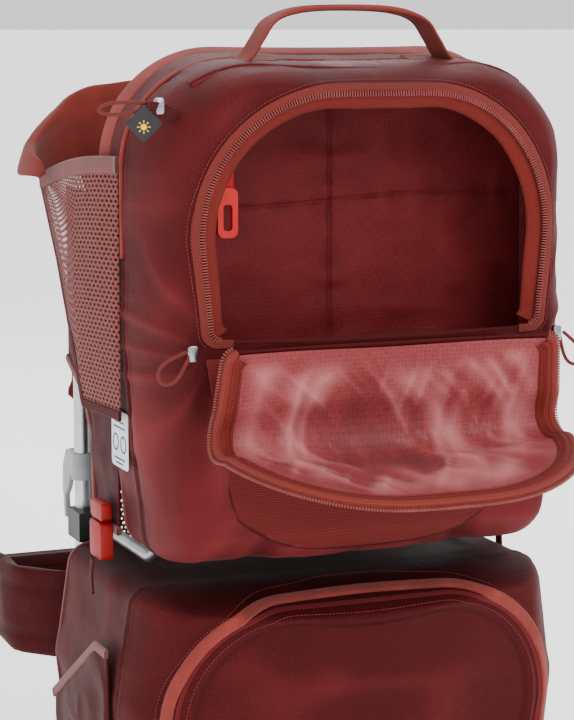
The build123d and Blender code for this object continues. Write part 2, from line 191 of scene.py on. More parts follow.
def grid_normals(p, closed_u=False, closed_v=False):
    """Unit normals of a grid, from the cross product of its two differences."""
    def diff(a, axis, closed):
        if closed:
            return np.roll(a, -1, axis) - np.roll(a, 1, axis)
        return np.gradient(a, axis=axis)
    return unit(np.cross(diff(p, 0, closed_u), diff(p, 1, closed_v)))


def frames(path, up):
    """Tangent, side and up vectors along a path; up is one vector or one per point."""
    t = unit(np.gradient(path, axis=0))
    up = np.broadcast_to(np.asarray(up, float), path.shape)
    side = unit(np.cross(t, up))
    return t, side, unit(np.cross(side, t))


def sweep(name, path, section, up, mat, body, closed=False):
    """A closed section, as (side, up) pairs, carried along a path.  Section points may vary: (n, k, 2)."""
    path = np.asarray(path, float)
    t, side, top = frames(path, up)
    if closed:
        t = unit(np.roll(path, -1, 0) - np.roll(path, 1, 0))
        side = unit(np.cross(t, np.broadcast_to(np.asarray(up, float), path.shape)))
        top = unit(np.cross(side, t))
    section = np.asarray(section, float)
    if section.ndim == 2:
        section = np.broadcast_to(section, (len(path),) + section.shape)
    p = path[:, None] + side[:, None] * section[..., :1] + top[:, None] * section[..., 1:]
    n, k = p.shape[:2]
    round_section = lengths(np.vstack([section[0], section[0][:1]]))[:-1]
    uv = np.stack(np.meshgrid(lengths(path), round_section, indexing="ij"), axis=-1).reshape(-1, 2)
    faces = grid_faces(n, k, closed, True).tolist()
    if not closed:
        faces += [list(range(k))[::-1], [(n - 1) * k + j for j in range(k)]]
    faces = [f[::-1] for f in faces]
    return make_mesh(name, p.reshape(-1, 3), faces, mat, body, uv=uv)


def rounded(width, height, radius, n=4):
    """A rectangle's outline with rounded corners, as (side, up) pairs."""
    pts = []
    for cx, cy, a in ((1, 1, 0), (-1, 1, 90), (-1, -1, 180), (1, -1, 270)):
        for step in np.linspace(0, 90, n):
            angle = math.radians(a + step)
            pts.append((cx * (width / 2 - radius) + radius * math.cos(angle),
                        cy * (height / 2 - radius) + radius * math.sin(angle)))
    return np.array(pts)


def disc(radius, n):
    """A circle of n points, as (side, up) pairs."""
    a = np.linspace(0, TAU, n, endpoint=False)
    return np.stack([radius * np.cos(a), radius * np.sin(a)], axis=1)


def scatter(name, path, up, verts, faces, pitch, mat, body):
    """One small shape repeated along a path.  Its points are (along, side, up)."""
    p = even(path, pitch)
    if np.ndim(up) == 2:
        given, wanted = np.linspace(0, 1, len(up)), np.linspace(0, 1, len(p))
        up = np.array([np.interp(wanted, given, up[:, k]) for k in range(3)]).T
    t, side, top = frames(p, up)
    verts = np.asarray(verts, float)
    all_points = (p[:, None] + t[:, None] * verts[None, :, :1] + side[:, None] * verts[None, :, 1:2]
                  + top[:, None] * verts[None, :, 2:])
    count = len(p)
    k = len(verts)
    all_faces = (np.asarray(faces)[None] + (np.arange(count) * k)[:, None, None]).reshape(-1, len(faces[0]))
    return make_mesh(name, all_points.reshape(-1, 3), all_faces, mat, body)


# ---------------------------------------------------------------- materials
class Nodes:
    """A short way to write a node material."""

    def __init__(self, name):
        self.mat = bpy.data.materials.new(name)
        self.mat.use_nodes = True
        self.tree = self.mat.node_tree
        self.bsdf = self.tree.nodes["Principled BSDF"]
        self.out = self.tree.nodes["Material Output"]

    def add(self, kind, **settings):
        """A new node of a kind, with its settings."""
        node = self.tree.nodes.new(kind)
        for key, value in settings.items():
            if hasattr(node, key):
                setattr(node, key, value)
        return node

    def link(self, a, b):
        """Wire an output to an input."""
        self.tree.links.new(a, b)

    def coords(self, kind):
        """Texture coordinates: UV for woven cloth, Object for a solid grain."""
        return self.add("ShaderNodeTexCoord").outputs[kind]

    def attribute(self, name):
        """A value stored on the mesh's points."""
        node = self.add("ShaderNodeAttribute")
        node.attribute_name = name
        return node.outputs["Fac"]

    def math(self, op, a, b=None, c=None, clamp=False):
        """A Math node of up to three numbers or sockets."""
        node = self.add("ShaderNodeMath", operation=op)
        node.use_clamp = clamp
        for i, value in enumerate((a, b, c)):
            if value is None:
                continue
            if isinstance(value, (int, float)):
                node.inputs[i].default_value = value
            else:
                self.link(value, node.inputs[i])
        return node.outputs[0]

    def noise(self, vector, scale, detail=2.0, rough=0.5):
        """Noise texture values from 0 to 1."""
        node = self.add("ShaderNodeTexNoise")
        node.inputs["Scale"].default_value = scale
        node.inputs["Detail"].default_value = detail
        node.inputs["Roughness"].default_value = rough
        self.link(vector, node.inputs["Vector"])
        return node.outputs["Fac"]

    def ramp(self, value, stops):
        """A colour for each value, through (place, colour) stops."""
        node = self.add("ShaderNodeValToRGB")
        while len(node.color_ramp.elements) < len(stops):
            node.color_ramp.elements.new(0.5)
        for element, (where, color) in zip(node.color_ramp.elements, stops):
            element.position = where
            element.color = (*color, 1) if len(color) == 3 else color
        self.link(value, node.inputs["Fac"])
        return node.outputs["Color"]

    def blend(self, factor, a, b):
        """Colour a where the factor is 0, b where it is 1."""
        node = self.add("ShaderNodeMix", data_type="RGBA", blend_type="MIX")
        for value, i in ((factor, 0), (a, 6), (b, 7)):
            if isinstance(value, (int, float)):
                node.inputs[i].default_value = value
            elif isinstance(value, tuple):
                node.inputs[i].default_value = (*value, 1)
            else:
                self.link(value, node.inputs[i])
        return node.outputs[2]

    def bump(self, height, strength, distance):
        """Shade the surface as if it rose by the height."""
        node = self.add("ShaderNodeBump")
        node.inputs["Strength"].default_value = strength
        node.inputs["Distance"].default_value = distance
        self.link(height, node.inputs["Height"])
        self.link(node.outputs["Normal"], self.bsdf.inputs["Normal"])

    def set(self, **values):
        """Give the surface its values, as numbers, colours or sockets, and return the material."""
        for key, value in values.items():
            socket = self.bsdf.inputs[key.replace("_", " ")]
            if isinstance(value, (int, float)):
                socket.default_value = value
            elif isinstance(value, tuple):
                socket.default_value = (*value, 1)
            else:
                self.link(value, socket)
        return self.mat


def shaded(color, share):
    """A colour scaled by a share: for darker and lighter threads, and for painted shade and painted
    highlight.
    """
    return tuple(min(1, c * share) for c in color)


def axes_of(m, vector):
    """The first two coordinates of a vector, for patterns along and across a cloth."""
    split = m.add("ShaderNodeSeparateXYZ")
    m.link(vector, split.inputs[0])
    return split.outputs[0], split.outputs[1]


def line_pattern(m, value, pitch, width):
    """1 on thin lines every pitch metres, with soft edges of the given share of the pitch."""
    phase = m.math("FRACT", m.math("DIVIDE", value, pitch))
    edge = m.math("ABSOLUTE", m.math("SUBTRACT", phase, 0.5))
    line = m.math("MULTIPLY", m.math("SUBTRACT", edge, 0.5 - width), 1 / width, clamp=True)
    return m.math("SMOOTH_MIN", line, 1.0, 0.01)


def cloth(name, color, pitch=0.0052, grid=0.35, roughness=0.6, painted_highlight_color=None, slub=0.5, coat=0.0):
    """Ripstop or plain weave: thin crossing grid lines, slubby yarn, and painted highlight and painted shade
    from the folds.
    """
    m = Nodes(name)
    uv = m.coords("UV")
    u, v = axes_of(m, uv)
    warp = m.math("MULTIPLY", m.math("SUBTRACT", m.noise(uv, 9.0, 1.0), 0.5), 0.004)
    lines_u = line_pattern(m, m.math("ADD", u, warp), pitch, 0.16)
    lines_v = line_pattern(m, m.math("ADD", v, warp), pitch, 0.16)
    lines = m.math("MAXIMUM", lines_u, lines_v)
    stretch = m.add("ShaderNodeMapping")
    stretch.inputs["Scale"].default_value = (1, 0.06, 1)
    m.link(uv, stretch.inputs["Vector"])
    yarn_u = m.noise(stretch.outputs[0], 2600, 1.0)
    stretch_v = m.add("ShaderNodeMapping")
    stretch_v.inputs["Scale"].default_value = (0.06, 1, 1)
    m.link(uv, stretch_v.inputs["Vector"])
    yarn_v = m.noise(stretch_v.outputs[0], 2600, 1.0)
    yarn = m.math("ADD", yarn_u, yarn_v)
    dark = shaded(color, 0.62)
    light = tuple(min(1, c * 1.35 + 0.001) for c in color)
    base = m.ramp(m.math("MULTIPLY", yarn, 0.5), [(0.36, dark), (0.5, color), (0.66, light)])
    cloudy = m.noise(m.coords("Object"), 7.0, 3.0)
    base = m.blend(m.math("MULTIPLY", cloudy, slub * 0.5), base, dark)
    base = m.blend(m.math("MULTIPLY", lines, grid), base, shaded(color, 0.45))
    # Painted highlight on fold ridges in a brightened colour, and painted shade in fold valleys.
    painted_light = m.attribute("painted_light")
    up = m.math("MULTIPLY", painted_light, 0.75, clamp=True)
    down = m.math("MULTIPLY", painted_light, -0.8, clamp=True)
    base = m.blend(up, base, tuple(min(1, c * 1.7 + 0.003) for c in (painted_highlight_color or color)))
    base = m.blend(down, base, shaded(color, 0.35))
    height = m.math("ADD", m.math("MULTIPLY", yarn, 0.35), m.math("MULTIPLY", lines, 0.65))
    m.bump(height, 0.35, 0.0005)
    return m.set(Base_Color=base, Roughness=roughness, Sheen_Weight=0.03, Sheen_Roughness=0.45,
                 Coat_Weight=coat, Coat_Roughness=0.35, Specular_IOR_Level=0.08)


def ribbed_cloth(name, color, pitch):
    """A heavy fabric with fine ribs one way, with painted shade in the rib grooves and painted light from the
    folds.
    """
    m = Nodes(name)
    uv = m.coords("UV")
    v = axes_of(m, uv)[1]
    rib = m.math("SINE", m.math("MULTIPLY", v, TAU / pitch))
    fleck = m.noise(uv, 900, 2.0)
    base = m.ramp(fleck, [(0.3, shaded(color, 0.75)), (0.7, shaded(color, 1.2))])
    # Painted shade in the rib grooves.
    base = m.blend(m.math("MULTIPLY", m.math("SUBTRACT", 1.0, rib), 0.18), base, shaded(color, 0.3))
    # Painted shade in fold hollows and painted highlight on fold crests.
    painted_light = m.attribute("painted_light")
    base = m.blend(m.math("MULTIPLY", painted_light, -0.8, clamp=True), base, shaded(color, 0.35))
    base = m.blend(m.math("MULTIPLY", painted_light, 0.6, clamp=True), base, shaded(color, 1.6))
    m.bump(m.math("ADD", m.math("MULTIPLY", rib, 0.5), fleck), 0.5, 0.0006)
    return m.set(Base_Color=base, Roughness=0.7, Sheen_Weight=0.02, Sheen_Roughness=0.5,
                 Specular_IOR_Level=0.14)


def fleece(name, color, scale=1500, sheen=0.12):
    """Brushed knit: fine fuzzy grain with soft blotches of nap."""
    m = Nodes(name)
    o = m.coords("Object")
    grain = m.noise(o, scale, 2.0, 0.7)
    nap = m.noise(o, 38, 3.0)
    base = m.ramp(m.math("ADD", m.math("MULTIPLY", grain, 0.6), m.math("MULTIPLY", nap, 0.4)),
                  [(0.34, shaded(color, 0.66)), (0.52, color),
                   (0.68, tuple(min(1, c * 1.3 + 0.001) for c in color))])
    # Painted shade in the hollows of folds, channels and wrinkles.
    painted_light = m.attribute("painted_light")
    base = m.blend(m.math("MULTIPLY", painted_light, -0.8, clamp=True), base, shaded(color, 0.4))
    m.bump(grain, 0.4, 0.0008)
    return m.set(Base_Color=base, Roughness=0.88, Sheen_Weight=sheen, Sheen_Roughness=0.6,
                 Specular_IOR_Level=0.08)


def webbing(name, color, rib=0.0011):
    """Woven tape: cords along its length crossed by short picks, flecked and a little uneven in colour."""
    m = Nodes(name)
    uv = m.coords("UV")
    u, v = axes_of(m, uv)
    cords = m.math("SINE", m.math("MULTIPLY", v, TAU / (rib * 2.2)))
    picks = m.math("SINE", m.math("ADD", m.math("MULTIPLY", u, TAU / rib), m.math("MULTIPLY", cords, 1.5)))
    weave = m.math("MULTIPLY", m.math("ADD", cords, picks), 0.5)
    fleck = m.noise(uv, 1500, 2.0)
    base = m.ramp(m.math("ADD", m.math("MULTIPLY", weave, 0.3), fleck),
                  [(0.2, shaded(color, 0.55)), (0.55, color), (0.85, shaded(color, 1.35))])
    cloudy = m.noise(m.coords("Object"), 25.0, 2.0)
    base = m.blend(m.math("MULTIPLY", cloudy, 0.3), base, shaded(color, 0.6))
    m.bump(m.math("ADD", weave, m.math("MULTIPLY", fleck, 0.4)), 0.6, 0.0007)
    return m.set(Base_Color=base, Roughness=0.72, Sheen_Weight=0.03, Sheen_Roughness=0.4,
                 Specular_IOR_Level=0.15)


def open_mesh(name, color, cell=0.0036, hole=0.30, stretch=1.0):
    """Knitted spacer mesh: rows of staggered round holes with thick yarn between them."""
    m = Nodes(name)
    uv = m.coords("UV")
    u, v = axes_of(m, uv)
    su = m.math("DIVIDE", u, cell * stretch)
    sv = m.math("DIVIDE", v, cell * 0.86)
    row = m.math("MULTIPLY", m.math("MODULO", m.math("FLOOR", sv), 2.0), 0.5)
    du = m.math("SUBTRACT", m.math("FRACT", m.math("ADD", su, row)), 0.5)
    dv = m.math("SUBTRACT", m.math("FRACT", sv), 0.5)
    far = m.math("SQRT", m.math("ADD", m.math("MULTIPLY", du, du), m.math("MULTIPLY", dv, dv)))
    solid = m.math("MULTIPLY", m.math("SUBTRACT", far, hole - 0.04), 12.0, clamp=True)
    fleck = m.noise(uv, 1800, 2.0)
    base = m.ramp(fleck, [(0.3, shaded(color, 0.6)), (0.7, shaded(color, 1.3))])
    # The yarn darkens towards each hole's middle, and the holes keep a little of that dark colour: painted
    # shade in the holes.
    base = m.blend(m.math("SUBTRACT", 1.0, m.math("MULTIPLY", far, 1.7, clamp=True)), base,
                   shaded(color, 0.25))
    m.bump(far, 0.7, 0.0012)
    m.mat.surface_render_method = "DITHERED"
    return m.set(Base_Color=base, Roughness=0.8, Sheen_Weight=0.08, Alpha=m.math("MAXIMUM", solid, 0.12))


def moulded(name, color, roughness, grain=900, strength=0.12):
    """Moulded plastic or rubber: a fine spark texture, and colour and roughness that drift a little."""
    m = Nodes(name)
    o = m.coords("Object")
    spark = m.noise(o, grain, 3.0)
    drift = m.noise(o, 30, 2.0)
    light = tuple(min(1, c * 1.12 + 0.004) for c in color)
    base = m.ramp(drift, [(0.3, shaded(color, 0.85)), (0.7, light)])
    rough = m.math("ADD", m.math("MULTIPLY", drift, 0.16), roughness - 0.08)
    m.bump(spark, strength, 0.0004)
    return m.set(Base_Color=base, Roughness=rough, Specular_IOR_Level=0.25)


def metal(name, color, roughness=0.25, brushed=0.0):
    """Drawn or plated metal: roughness in streaks drawn out along Z, and a little tarnish."""
    m = Nodes(name)
    o = m.coords("Object")
    stretch = m.add("ShaderNodeMapping")
    stretch.inputs["Scale"].default_value = (1, 1, 0.05)
    m.link(o, stretch.inputs["Vector"])
    streak = m.noise(stretch.outputs[0], 1200, 2.0)
    tarnish = m.noise(o, 45, 3.0)
    base = m.ramp(tarnish, [(0.3, shaded(color, 0.8)), (0.7, color)])
    rough = m.math("ADD", m.math("MULTIPLY", streak, 0.15 + brushed), roughness - 0.06)
    m.bump(streak, 0.08 + brushed, 0.0002)
    return m.set(Base_Color=base, Metallic=1.0, Roughness=rough)


MAROON = (0.058, 0.0033, 0.0042)

M_PACK = cloth("pack_ripstop", MAROON, grid=0.34, painted_highlight_color=(0.115, 0.012, 0.013))
M_DEEP = cloth("side_ripstop", (0.050, 0.0032, 0.0045), grid=0.25)
M_INSIDE = cloth("pocket_lining_cloth", (0.105, 0.009, 0.011), pitch=0.004, grid=0.10, roughness=0.5)
M_PINK = cloth("coated_lining", (0.235, 0.040, 0.042), pitch=0.0042, grid=0.40, roughness=0.40,
               painted_highlight_color=(0.34, 0.13, 0.13), coat=0.12, slub=0.3)
M_BRICK = ribbed_cloth("facing_cloth", (0.155, 0.014, 0.010), pitch=0.0011)
M_RIB = ribbed_cloth("ribbed_panel", (0.125, 0.010, 0.008), pitch=0.0021)
M_FLEECE = fleece("coral_fleece", (0.165, 0.021, 0.015))
M_RIM = fleece("coral_rim", (0.205, 0.028, 0.021), scale=1200)
M_TAUPE = fleece("binding_taupe", (0.135, 0.026, 0.021), scale=1800, sheen=0.2)
M_BIND = webbing("coral_binding", (0.22, 0.030, 0.023), rib=0.0009)
M_TAPE = webbing("coral_webbing", (0.22, 0.036, 0.027), rib=0.0013)
M_DARKTAPE = webbing("maroon_webbing", (0.07, 0.007, 0.008), rib=0.0012)
M_ZIPTAPE = webbing("zip_tape", (0.17, 0.024, 0.019), rib=0.0008)
M_COIL = moulded("zip_coil", (0.19, 0.036, 0.030), roughness=0.55, grain=1800, strength=0.05)
M_ZIPDARK = webbing("dark_zip", (0.13, 0.008, 0.011), rib=0.0009)
M_MESH = open_mesh("coral_mesh", (0.20, 0.026, 0.019), cell=0.0044, stretch=1.7)
M_AIRMESH = open_mesh("back_air_mesh", (0.18, 0.030, 0.024), cell=0.0052, hole=0.34)
M_RED = moulded("red_buckle", (0.27, 0.0008, 0.0015), roughness=0.5)
M_CLIP = moulded("bright_clip", (0.34, 0.001, 0.001), roughness=0.5)
M_GREY = moulded("grey_plastic", (0.30, 0.31, 0.315), roughness=0.42)
M_BLACK = moulded("black_plastic", (0.016, 0.016, 0.018), roughness=0.45)
M_RUBBER = moulded("rubber", (0.014, 0.014, 0.014), roughness=0.75, grain=500, strength=0.3)
M_TUBE = metal("satin_tube", (0.56, 0.57, 0.59), roughness=0.32, brushed=0.05)
M_CHROME = metal("bright_slider", (0.34, 0.34, 0.36), roughness=0.24)
M_THREAD = webbing("stitch_thread", (0.20, 0.030, 0.026), rib=0.0006)

for nodes, material in (
        (("frame_hoop", "rear_support_loop", "kickstand_loop"), M_TUBE),
        (("loop_clamps", "kickstand_hubs", "kickstand_eyes"), M_BLACK),
        (("frame_crossbar",), M_GREY),
        (("upright_boots", "kickstand_sleeves"), M_RUBBER),
        (("kickstand_pins",), M_CHROME)):
    for node in nodes:
        frame["nodes"][node].data.materials.clear()
        frame["nodes"][node].data.materials.append(material)


# ---------------------------------------------------------------- the two sewn packs
def corner_path(points, radii, step=2.0):
    """A closed outline through points with rounded corners, evenly sampled."""
    pts = [np.array(p, float) for p in points]
    out = []
    n = len(pts)
    for i in range(n):
        a, b, c = pts[i - 1], pts[i], pts[(i + 1) % n]
        u, v = unit(a - b), unit(c - b)
        half = math.acos(np.clip(u @ v, -1, 1)) / 2
        cut = radii[i] / math.tan(half)
        start, end = b + u * cut, b + v * cut
        centre = b + unit(u + v) * radii[i] / math.sin(half)
        a0 = math.atan2(*(start - centre)[::-1])
        a1 = math.atan2(*(end - centre)[::-1])
        turn = (a1 - a0 + math.pi) % TAU - math.pi
        for t in np.linspace(0, 1, 16):
            out.append(centre + radii[i] * np.array([math.cos(a0 + turn * t), math.sin(a0 + turn * t)]))
    return even(np.vstack([out, out[:1]]), step)


class Outline:
    """A closed outline read as a distance from a centre for each direction."""

    def __init__(self, points, radii, centre):
        self.centre = np.array(centre, float)
        self.path = corner_path(points, radii)
        d = self.path - self.centre
        angle = np.unwrap(np.arctan2(d[:, 1], d[:, 0]))
        reach = np.hypot(d[:, 0], d[:, 1])
        if angle[-1] < angle[0]:
            angle, reach = angle[::-1], reach[::-1]
        self.angle = np.concatenate([angle[:-1] - TAU, angle[:-1], angle[:-1] + TAU, angle[:-1] + 2 * TAU])
        self.reach = np.tile(reach[:-1], 4)

    def __call__(self, angle):
        """The outline's distance from the centre towards an angle."""
        return np.interp(np.mod(angle, TAU), self.angle, self.reach)


SEAM_Y = -105.0
UPPER_C = (0.0, 612.0)
upper_edge = Outline([(-182, 318), (182, 318), (200, 520), (200, 760), (-200, 760), (-200, 520)],
                     [26, 26, 60, 96, 96, 60], UPPER_C)
upper_rim = Outline([(-154, 520), (154, 520), (162, 603), (162, 727), (-162, 727), (-162, 603)],
                    [10, 10, 30, 120, 120, 30], UPPER_C)
LOWER_C = (0.0, 196.0)
lower_edge = Outline([(-202, 98), (202, 98), (212, 185), (196, 292), (-196, 292), (-212, 185)],
                     [22, 22, 40, 20, 20, 40], LOWER_C)
lower_rim = Outline([(-174, 136), (174, 136), (180, 172), (180, 280), (-180, 280), (-180, 172)],
                    [14, 14, 20, 104, 104, 20], LOWER_C)


def smooth_max(a, b, k):
    """The larger of a and b, rounded over about k where they cross: (a + b + sqrt((a - b)^2 + k^2)) / 2."""
    return 0.5 * (a + b + np.sqrt((a - b) ** 2 + k * k))


def bulge(inward, width):
    """0 at the edge rising to 1 at width inward, steep at first: (1 - (1 - t)^1.6)^(1/1.6)."""
    t = np.clip(inward / width, 0, 1)
    return (1 - (1 - t) ** 1.6) ** (1 / 1.6)


def upper_y(x, z):
    """The upper pack's rear face: flanks curl in from the seam at -105 to a bowed back, and the
    part under the pocket's sill falls in towards the bottom edge."""
    x, z = np.asarray(x, float), np.asarray(z, float)
    dx, dz = x - UPPER_C[0], z - UPPER_C[1]
    inward = upper_edge(np.arctan2(dz, dx)) - np.hypot(dx, dz)
    y = SEAM_Y - 84 * bulge(inward, 36) - 17 * (1 - np.clip(np.abs(x) / 170, 0, 1) ** 2)
    floor = np.interp(z, [318, 346, 432, 512, 560, 760], [-154, -171, -180, -203, -216, -240])
    return smooth_max(y, floor, 9)


def lower_y(x, z):
    """The lower pack's rear face, bowed the same way but shallower."""
    x, z = np.asarray(x, float), np.asarray(z, float)
    dx, dz = x - LOWER_C[0], z - LOWER_C[1]
    inward = lower_edge(np.arctan2(dz, dx)) - np.hypot(dx, dz)
    return SEAM_Y - 56 * bulge(inward, 34) - 21 * (1 - np.clip(np.abs(x) / 186, 0, 1) ** 2)


def pack_shell(edge, rim, centre, yfun, front_y, seam_slope, n=420, rows=(16, 66), floor_slope=0.0):
    """A sewn shell as a grid: one column per direction from the centre.  Along a column it runs from
    the front edge back to the side seam, and then round the flank and over the rear to the rim."""
    a = np.linspace(0, TAU, n, endpoint=False)
    out, inn = edge(a), rim(a)
    top = smooth(0.25, 0.9, np.sin(a))
    low = smooth(0.25, 0.8, -np.sin(a))
    seam_in = seam_slope * top
    columns = []
    for k in range(rows[0]):
        t = k / rows[0]
        r = out - seam_in * t
        y = np.full(n, front_y + (SEAM_Y - front_y) * t)
        columns.append(np.stack([centre[0] + r * np.cos(a), y, centre[1] + r * np.sin(a)
                                 - floor_slope * low * (y - SEAM_Y)], axis=1))
    for k in range(rows[1] + 1):
        t = k / rows[1]
        r = (out - seam_in) + (inn - (out - seam_in)) * (0.25 * t + 0.75 * t ** 1.7)
        x, z = centre[0] + r * np.cos(a), centre[1] + r * np.sin(a)
        full = r + seam_in * (1 - t)
        y = yfun(centre[0] + full * np.cos(a), centre[1] + full * np.sin(a))
        columns.append(np.stack([x, y, z - floor_slope * low * (y - SEAM_Y) * (1 - t)], axis=1))
    return a, np.stack(columns, axis=1)


def pack_uv(p):
    """Weave directions: across the rear and round the flanks one way, up the rear and over the roof
    the other."""
    x, y, z = p[..., 0], p[..., 1], p[..., 2]
    side = smooth(140, 178, np.abs(x))
    roof = smooth(700, 742, z)
    u = x + np.sign(x) * (y + 200) * side
    v = z + (y + 200) * roof * (1 - side)
    return np.stack([u, v], axis=-1)


def seam_relief(distance, width=2.2, depth=1.6):
    """A stitched seam: a narrow groove between two low ridges."""
    d = distance / width
    return -depth * np.exp(-d * d) + 0.7 * depth * np.exp(-((np.abs(d) - 2.0) ** 2) * 1.4)


def build_upper():
    """The upper pack's cloth: its shell pushed in and out along its normals by folds, seams and darts."""
    a, p = pack_shell(upper_edge, upper_rim, UPPER_C, upper_y, -50.0, 10.0)
    n = grid_normals(p, closed_u=True)
    x, y, z = p[..., 0], p[..., 1], p[..., 2]
    dx, dz = x - UPPER_C[0], z - UPPER_C[1]
    inset = np.hypot(dx, dz) - upper_rim(np.arctan2(dz, dx))
    calm = smooth(3, 26, inset)
    # Long soft creases run from the zip's lower corners down to the bottom seam, and the roof sags.
    below = smooth(0, 90, 520 - z)
    flow = np.stack([x * 0.9 + (z - 520) * np.sign(x) * 0.45, y, z], axis=-1)
    drape = folds(flow, (70, 90, 260), 3) * (0.6 + 2.4 * below) + 1.1 * folds(p, (120, 120, 60), 11)
    small = noise(p, (26, 40, 34), 7) * 0.7 + noise(p, (11, 16, 13), 9) * 0.22
    # Fans of creases leave the pocket's lower corners and the flanks' darts.
    fan = np.arctan2(z - 505, np.abs(x) - 150) * 5.5 + noise(p, (80, 80, 80), 15) * 1.3
    reach = np.hypot(z - 505, np.abs(x) - 150)
    fans = (1 - np.abs(np.sin(fan))) ** 2 * np.exp(-((reach - 70) / 55) ** 2) * 2.6
    height = (drape * 1.35 + small + fans) * calm
    seam = np.abs(y - SEAM_Y)
    pucker = np.sin(a[:, None] * 95 + 3 * noise(p, (60, 60, 60), 2)) * np.exp(-np.abs(y - SEAM_Y) / 11)
    height = height + seam_relief(seam) + 0.35 * pucker
    # A dart on each flank runs from the side seam towards the pocket's corner.
    dart = np.abs((z - 486) - (np.abs(x) - 200) * -0.55 - (y - SEAM_Y) * -0.1)
    height = height - 1.2 * np.exp(-(dart / 2.0) ** 2) * smooth(150, 165, np.abs(x)) * smooth(-100, -108, y)
    p = p + n * height[..., None]
    # Painted highlight on raised folds, and painted shade in their hollows and along the side seam's groove.
    painted_light = np.clip(height * 0.16, -1, 1) - 0.5 * np.exp(-(seam / 3.0) ** 2)
    shell = grid_piece("upper_pack_cloth", p, M_PACK, "pack", uv=pack_uv(p), closed_u=True,
                       thick=2.0, painted_light=painted_light)
    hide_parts("upper_face", "upper_roof", "upper_sides")


build_upper()


def build_lower():
    """The lower pack's cloth and its door, creased more gently than the upper pack."""
    a, p = pack_shell(lower_edge, lower_rim, LOWER_C, lower_y, 86.0, 0.0, rows=(44, 40), floor_slope=0.19)
    n = grid_normals(p, closed_u=True)
    x, y, z = p[..., 0], p[..., 1], p[..., 2]
    dx, dz = x - LOWER_C[0], z - LOWER_C[1]
    inset = np.hypot(dx, dz) - lower_rim(np.arctan2(dz, dx))
    calm = smooth(2, 22, inset)
    height = (folds(p, (110, 90, 50), 21) * 1.1 + noise(p, (30, 40, 22), 23) * 0.8
              + noise(p, (12, 16, 12), 24) * 0.2) * calm
    pucker = np.sin(a[:, None] * 90) * np.exp(-np.abs(y - SEAM_Y) / 10)
    height = height + seam_relief(np.abs(y - SEAM_Y)) + 0.35 * pucker
    p = p + n * height[..., None]
    # Painted highlight on raised folds, painted shade in their hollows and along the side seam, and a painted
    # shadow on the upward cloth under the upper pack.
    painted_gap_shadow = smooth(0.55, 0.9, n[..., 2]) * smooth(-172, -150, y)
    painted_light = np.clip(height * 0.16, -1, 1) - 0.5 * np.exp(-((y - SEAM_Y) / 3.0) ** 2) - 0.8 * painted_gap_shadow
    shell = grid_piece("lower_pack_cloth", p, M_PACK, "pack", uv=pack_uv(p), closed_u=True,
                       thick=2.0, painted_light=painted_light)
    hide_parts("lower_face", "lower_sides", "lower_ceiling", "lower_floor")
    # The door fills the rim: rings from the rim to its middle.
    s = np.linspace(0, 1, 60)
    angle = np.linspace(0, TAU, 300, endpoint=False)
    reach = (lower_rim(angle) - 2.2)[:, None] * (1 - s[None, :]) + 0.01
    dx, dz = reach * np.cos(angle)[:, None], reach * np.sin(angle)[:, None]
    dx, dz = dx + LOWER_C[0], dz + LOWER_C[1]
    door = np.stack([dx, lower_y(dx, dz), dz], axis=-1)
    away = reach[:, :1] - reach
    # Its edge is rolled over the zip, with a stitched groove inside the roll.
    ripple = (folds(door, (150, 60, 60), 31) * 1.5 + noise(door, (40, 40, 26), 33) * 0.9
              + noise(door, (12, 12, 12), 34) * 0.2)
    roll, groove = 3.0 * np.exp(-((away - 9) / 6.0) ** 2), 1.2 * np.exp(-((away - 17) / 1.6) ** 2)
    door[..., 1] -= ripple * smooth(4, 40, away) + roll - groove
    # Painted light on the door's ripples, and painted shade in the stitched groove inside the rolled edge.
    painted_light = np.clip(ripple * 0.14, -1, 1) * smooth(4, 40, away) - 0.5 * np.exp(-((away - 17) / 2.2) ** 2)
    piece = grid_piece("lower_door_cloth", door, M_PACK, "lower_door", uv=pack_uv(door),
                       closed_u=True, thick=2.0, painted_light=painted_light)
    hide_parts("lower_door")


build_lower()


# ---------------------------------------------------------------- rims, zips and stitching
BOX_FACES = [(0, 3, 2, 1), (4, 5, 6, 7), (0, 1, 5, 4), (1, 2, 6, 5), (2, 3, 7, 6), (3, 0, 4, 7)]


def small_box(length, width, height, base=0.0):
    """Eight corners of a small block, (along, side, up), whose top is a little smaller than its foot."""
    a, b = length / 2, width / 2
    c, d = a * 0.7, b * 0.82
    return [(-a, b, base), (-a, -b, base), (a, -b, base), (a, b, base),
            (-c, d, base + height), (-c, -d, base + height), (c, -d, base + height), (c, d, base + height)]


def surface_normal(yfun, x, z):
    """Normal of a face y = f(x, z) that looks towards -Y."""
    e = 0.8
    fx = (yfun(x + e, z) - yfun(x - e, z)) / (2 * e)
    fz = (yfun(x, z + e) - yfun(x, z - e)) / (2 * e)
    return unit(np.stack([fx, -np.ones_like(fx), fz], axis=-1))


def along_rim(rim, centre, yfun, a0, a1, inward=0.0, lift=0.0, n=900):
    """Points beside a rim, a distance towards its centre, and their surface normals."""
    a = np.radians(np.linspace(a0, a1, n))
    r = rim(a) - inward
    x, z = centre[0] + r * np.cos(a), centre[1] + r * np.sin(a)
    normal = surface_normal(yfun, x, z)
    return np.stack([x, yfun(x, z), z], axis=-1) + normal * lift, normal


def ring_grid(rim, centre, yfun, a0, a1, inner, outer, rows, lift, n=420):
    """A band beside a rim: rows go from outer to inner, both measured towards the centre."""
    out = []
    for k in range(rows):
        t = k / (rows - 1)
        p, normal = along_rim(rim, centre, yfun, a0, a1, mix(outer, inner, t), 0.0, n)
        out.append(p + normal * (lift(t) if callable(lift) else lift))
    return np.stack(out, axis=1)


def stitches(name, path, normals, body, pitch=3.4):
    """A row of short thread stitches."""
    thread = small_box(2.4, 0.7, 0.5)
    return scatter(name, path, normals, thread, BOX_FACES, pitch, M_THREAD, body)


